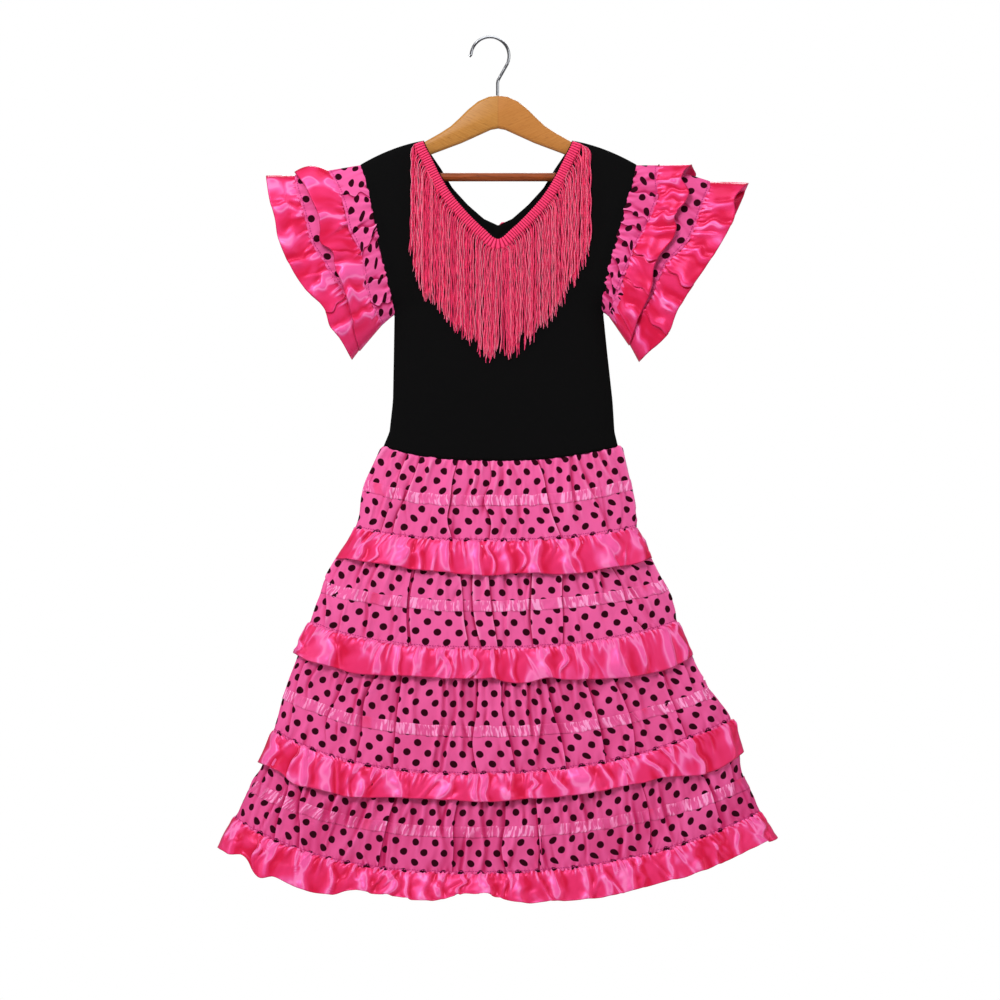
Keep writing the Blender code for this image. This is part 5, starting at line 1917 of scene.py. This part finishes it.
@dataclass
class Studio:
    """White room, pale floor, broad lamps and the camera."""

    # In metres: the camera's place, the width that it takes in at the dress, and the floor.
    camera_place: tuple[float, float, float] = (0.011, -4.0, -0.5077)
    frame_width: float = 1.1
    sensor: float = 36.0
    floor_z: float = -1.25
    floor_radius: float = 1.3
    # Each lamp's place, aim, width, height and power.
    lamps: dict[str, tuple] = field(default_factory=lambda: {
        "key": ((-0.75, -1.8, 1.0), (0.0, 0.0, -0.45), 0.8, 0.8, 37.0),
        "fill": ((2.0, -2.2, 0.3), (0.0, 0.0, -0.5), 0.8, 1.4, 8.0),
        "top": ((0.0, -0.9, 1.4), (0.0, 0.0, -0.6), 1.6, 0.8, 12.0),
        "left_strip": ((-1.9, -0.6, -0.5), (0.0, 0.0, -0.55), 0.4, 1.6, 9.0),
        "right_strip": ((1.9, -0.5, -0.5), (0.0, 0.0, -0.55), 0.4, 1.6, 8.0),
        "back": ((0.4, 2.6, 0.9), (0.0, 0.0, -0.5), 1.6, 1.6, 44.0),
    })

    def build(self) -> None:
        """Makes the camera, the lamps, the room and the floor."""
        self.camera()
        for name, (place, aim, width, height, power) in self.lamps.items():
            self.lamp(name, np.array(place), np.array(aim), width, height, power)
        self.room()
        self.floor()
        bpy.context.scene.view_settings.view_transform = "Standard"
        LOG.info("studio: %d lamps", len(self.lamps))

    def camera(self) -> None:
        """Makes the level camera that looks along +Y."""
        data = bpy.data.cameras.new("camera")
        data.sensor_width = self.sensor
        data.lens = self.sensor * -self.camera_place[1] / self.frame_width
        made = bpy.data.objects.new("camera", data)
        made.location = self.camera_place
        made.rotation_euler = (math.radians(90.0), 0.0, 0.0)
        bpy.context.scene.collection.objects.link(made)
        bpy.context.scene.camera = made

    def lamp(self, name: str, place: Array, aim: Array, width: float, height: float, power: float) -> None:
        """Makes a flat lamp that faces its aim."""
        data = bpy.data.lights.new(name, "AREA")
        data.shape = "RECTANGLE"
        data.size, data.size_y, data.energy = width, height, power
        made = bpy.data.objects.new(name, data)
        made.location = place
        direction = (aim - place) / np.linalg.norm(aim - place)
        yaw = math.atan2(direction[0], -direction[1])
        made.rotation_euler = (math.acos(-direction[2]), 0.0, yaw + math.pi)
        bpy.context.scene.collection.objects.link(made)

    def room(self) -> None:
        """Makes the surroundings: plain white to the eye, and softer as a light."""
        world = bpy.data.worlds.new("white_room")
        world.use_nodes = True
        tree = world.node_tree
        seen = add_node(tree, "Background", None, {0: "#FFFFFF", 1: 1.0})
        light = add_node(tree, "Background", None, {0: "#FBF6F8", 1: 0.19})
        ray = add_node(tree, "LightPath", None, None, "Is Camera Ray")
        both = add_node(tree, "MixShader", None, {0: ray, 1: light, 2: seen})
        feed(tree, tree.nodes["World Output"], {0: both})
        bpy.context.scene.world = world

    def floor(self) -> None:
        """Makes the floor disc below the dress."""
        corners = np.arange(96)
        angles = corners * 2 * math.pi / len(corners)
        x, y = self.floor_radius * np.cos(angles), self.floor_radius * np.sin(angles)
        points = np.stack([x, y, np.full(len(corners), self.floor_z)], axis=1) / MM
        made = mesh_object("floor", points, corners[None, :])
        made.data.materials.append(StudioFloor("matt_white_board", 0.8).build())


def main() -> None:
    """Builds and dresses every piece, in order."""
    logging.basicConfig(level=logging.INFO, format="%(name)s %(message)s")
    dotted = DottedCotton("dotted_poly_cotton", 0.78).build()
    lowered = DottedCotton("dotted_poly_cotton_low_rows", 0.78, dot_lift=0.4).build()
    satin = Satin("polyester_satin", 0.3, 1.7).build()
    ribbon = NarrowRibbon("narrow_satin_ribbon", 0.42, 1.6).build()
    knit = StretchKnit("black_cotton_jersey", 0.92, 1.4).build()
    rayon = Rayon("twisted_rayon", 0.5, 1.53).build()
    Studio().build()
    Hanger().build()
    bodice = Bodice()
    bodice.build(knit)
    NeckTrim().build(bodice, rayon)
    for sleeve in (left_sleeve(), right_sleeve()):
        sleeve.build(dotted, satin)
    Skirt().build((lowered, dotted, lowered, lowered), satin, ribbon)


if __name__ == "__main__":
    main()
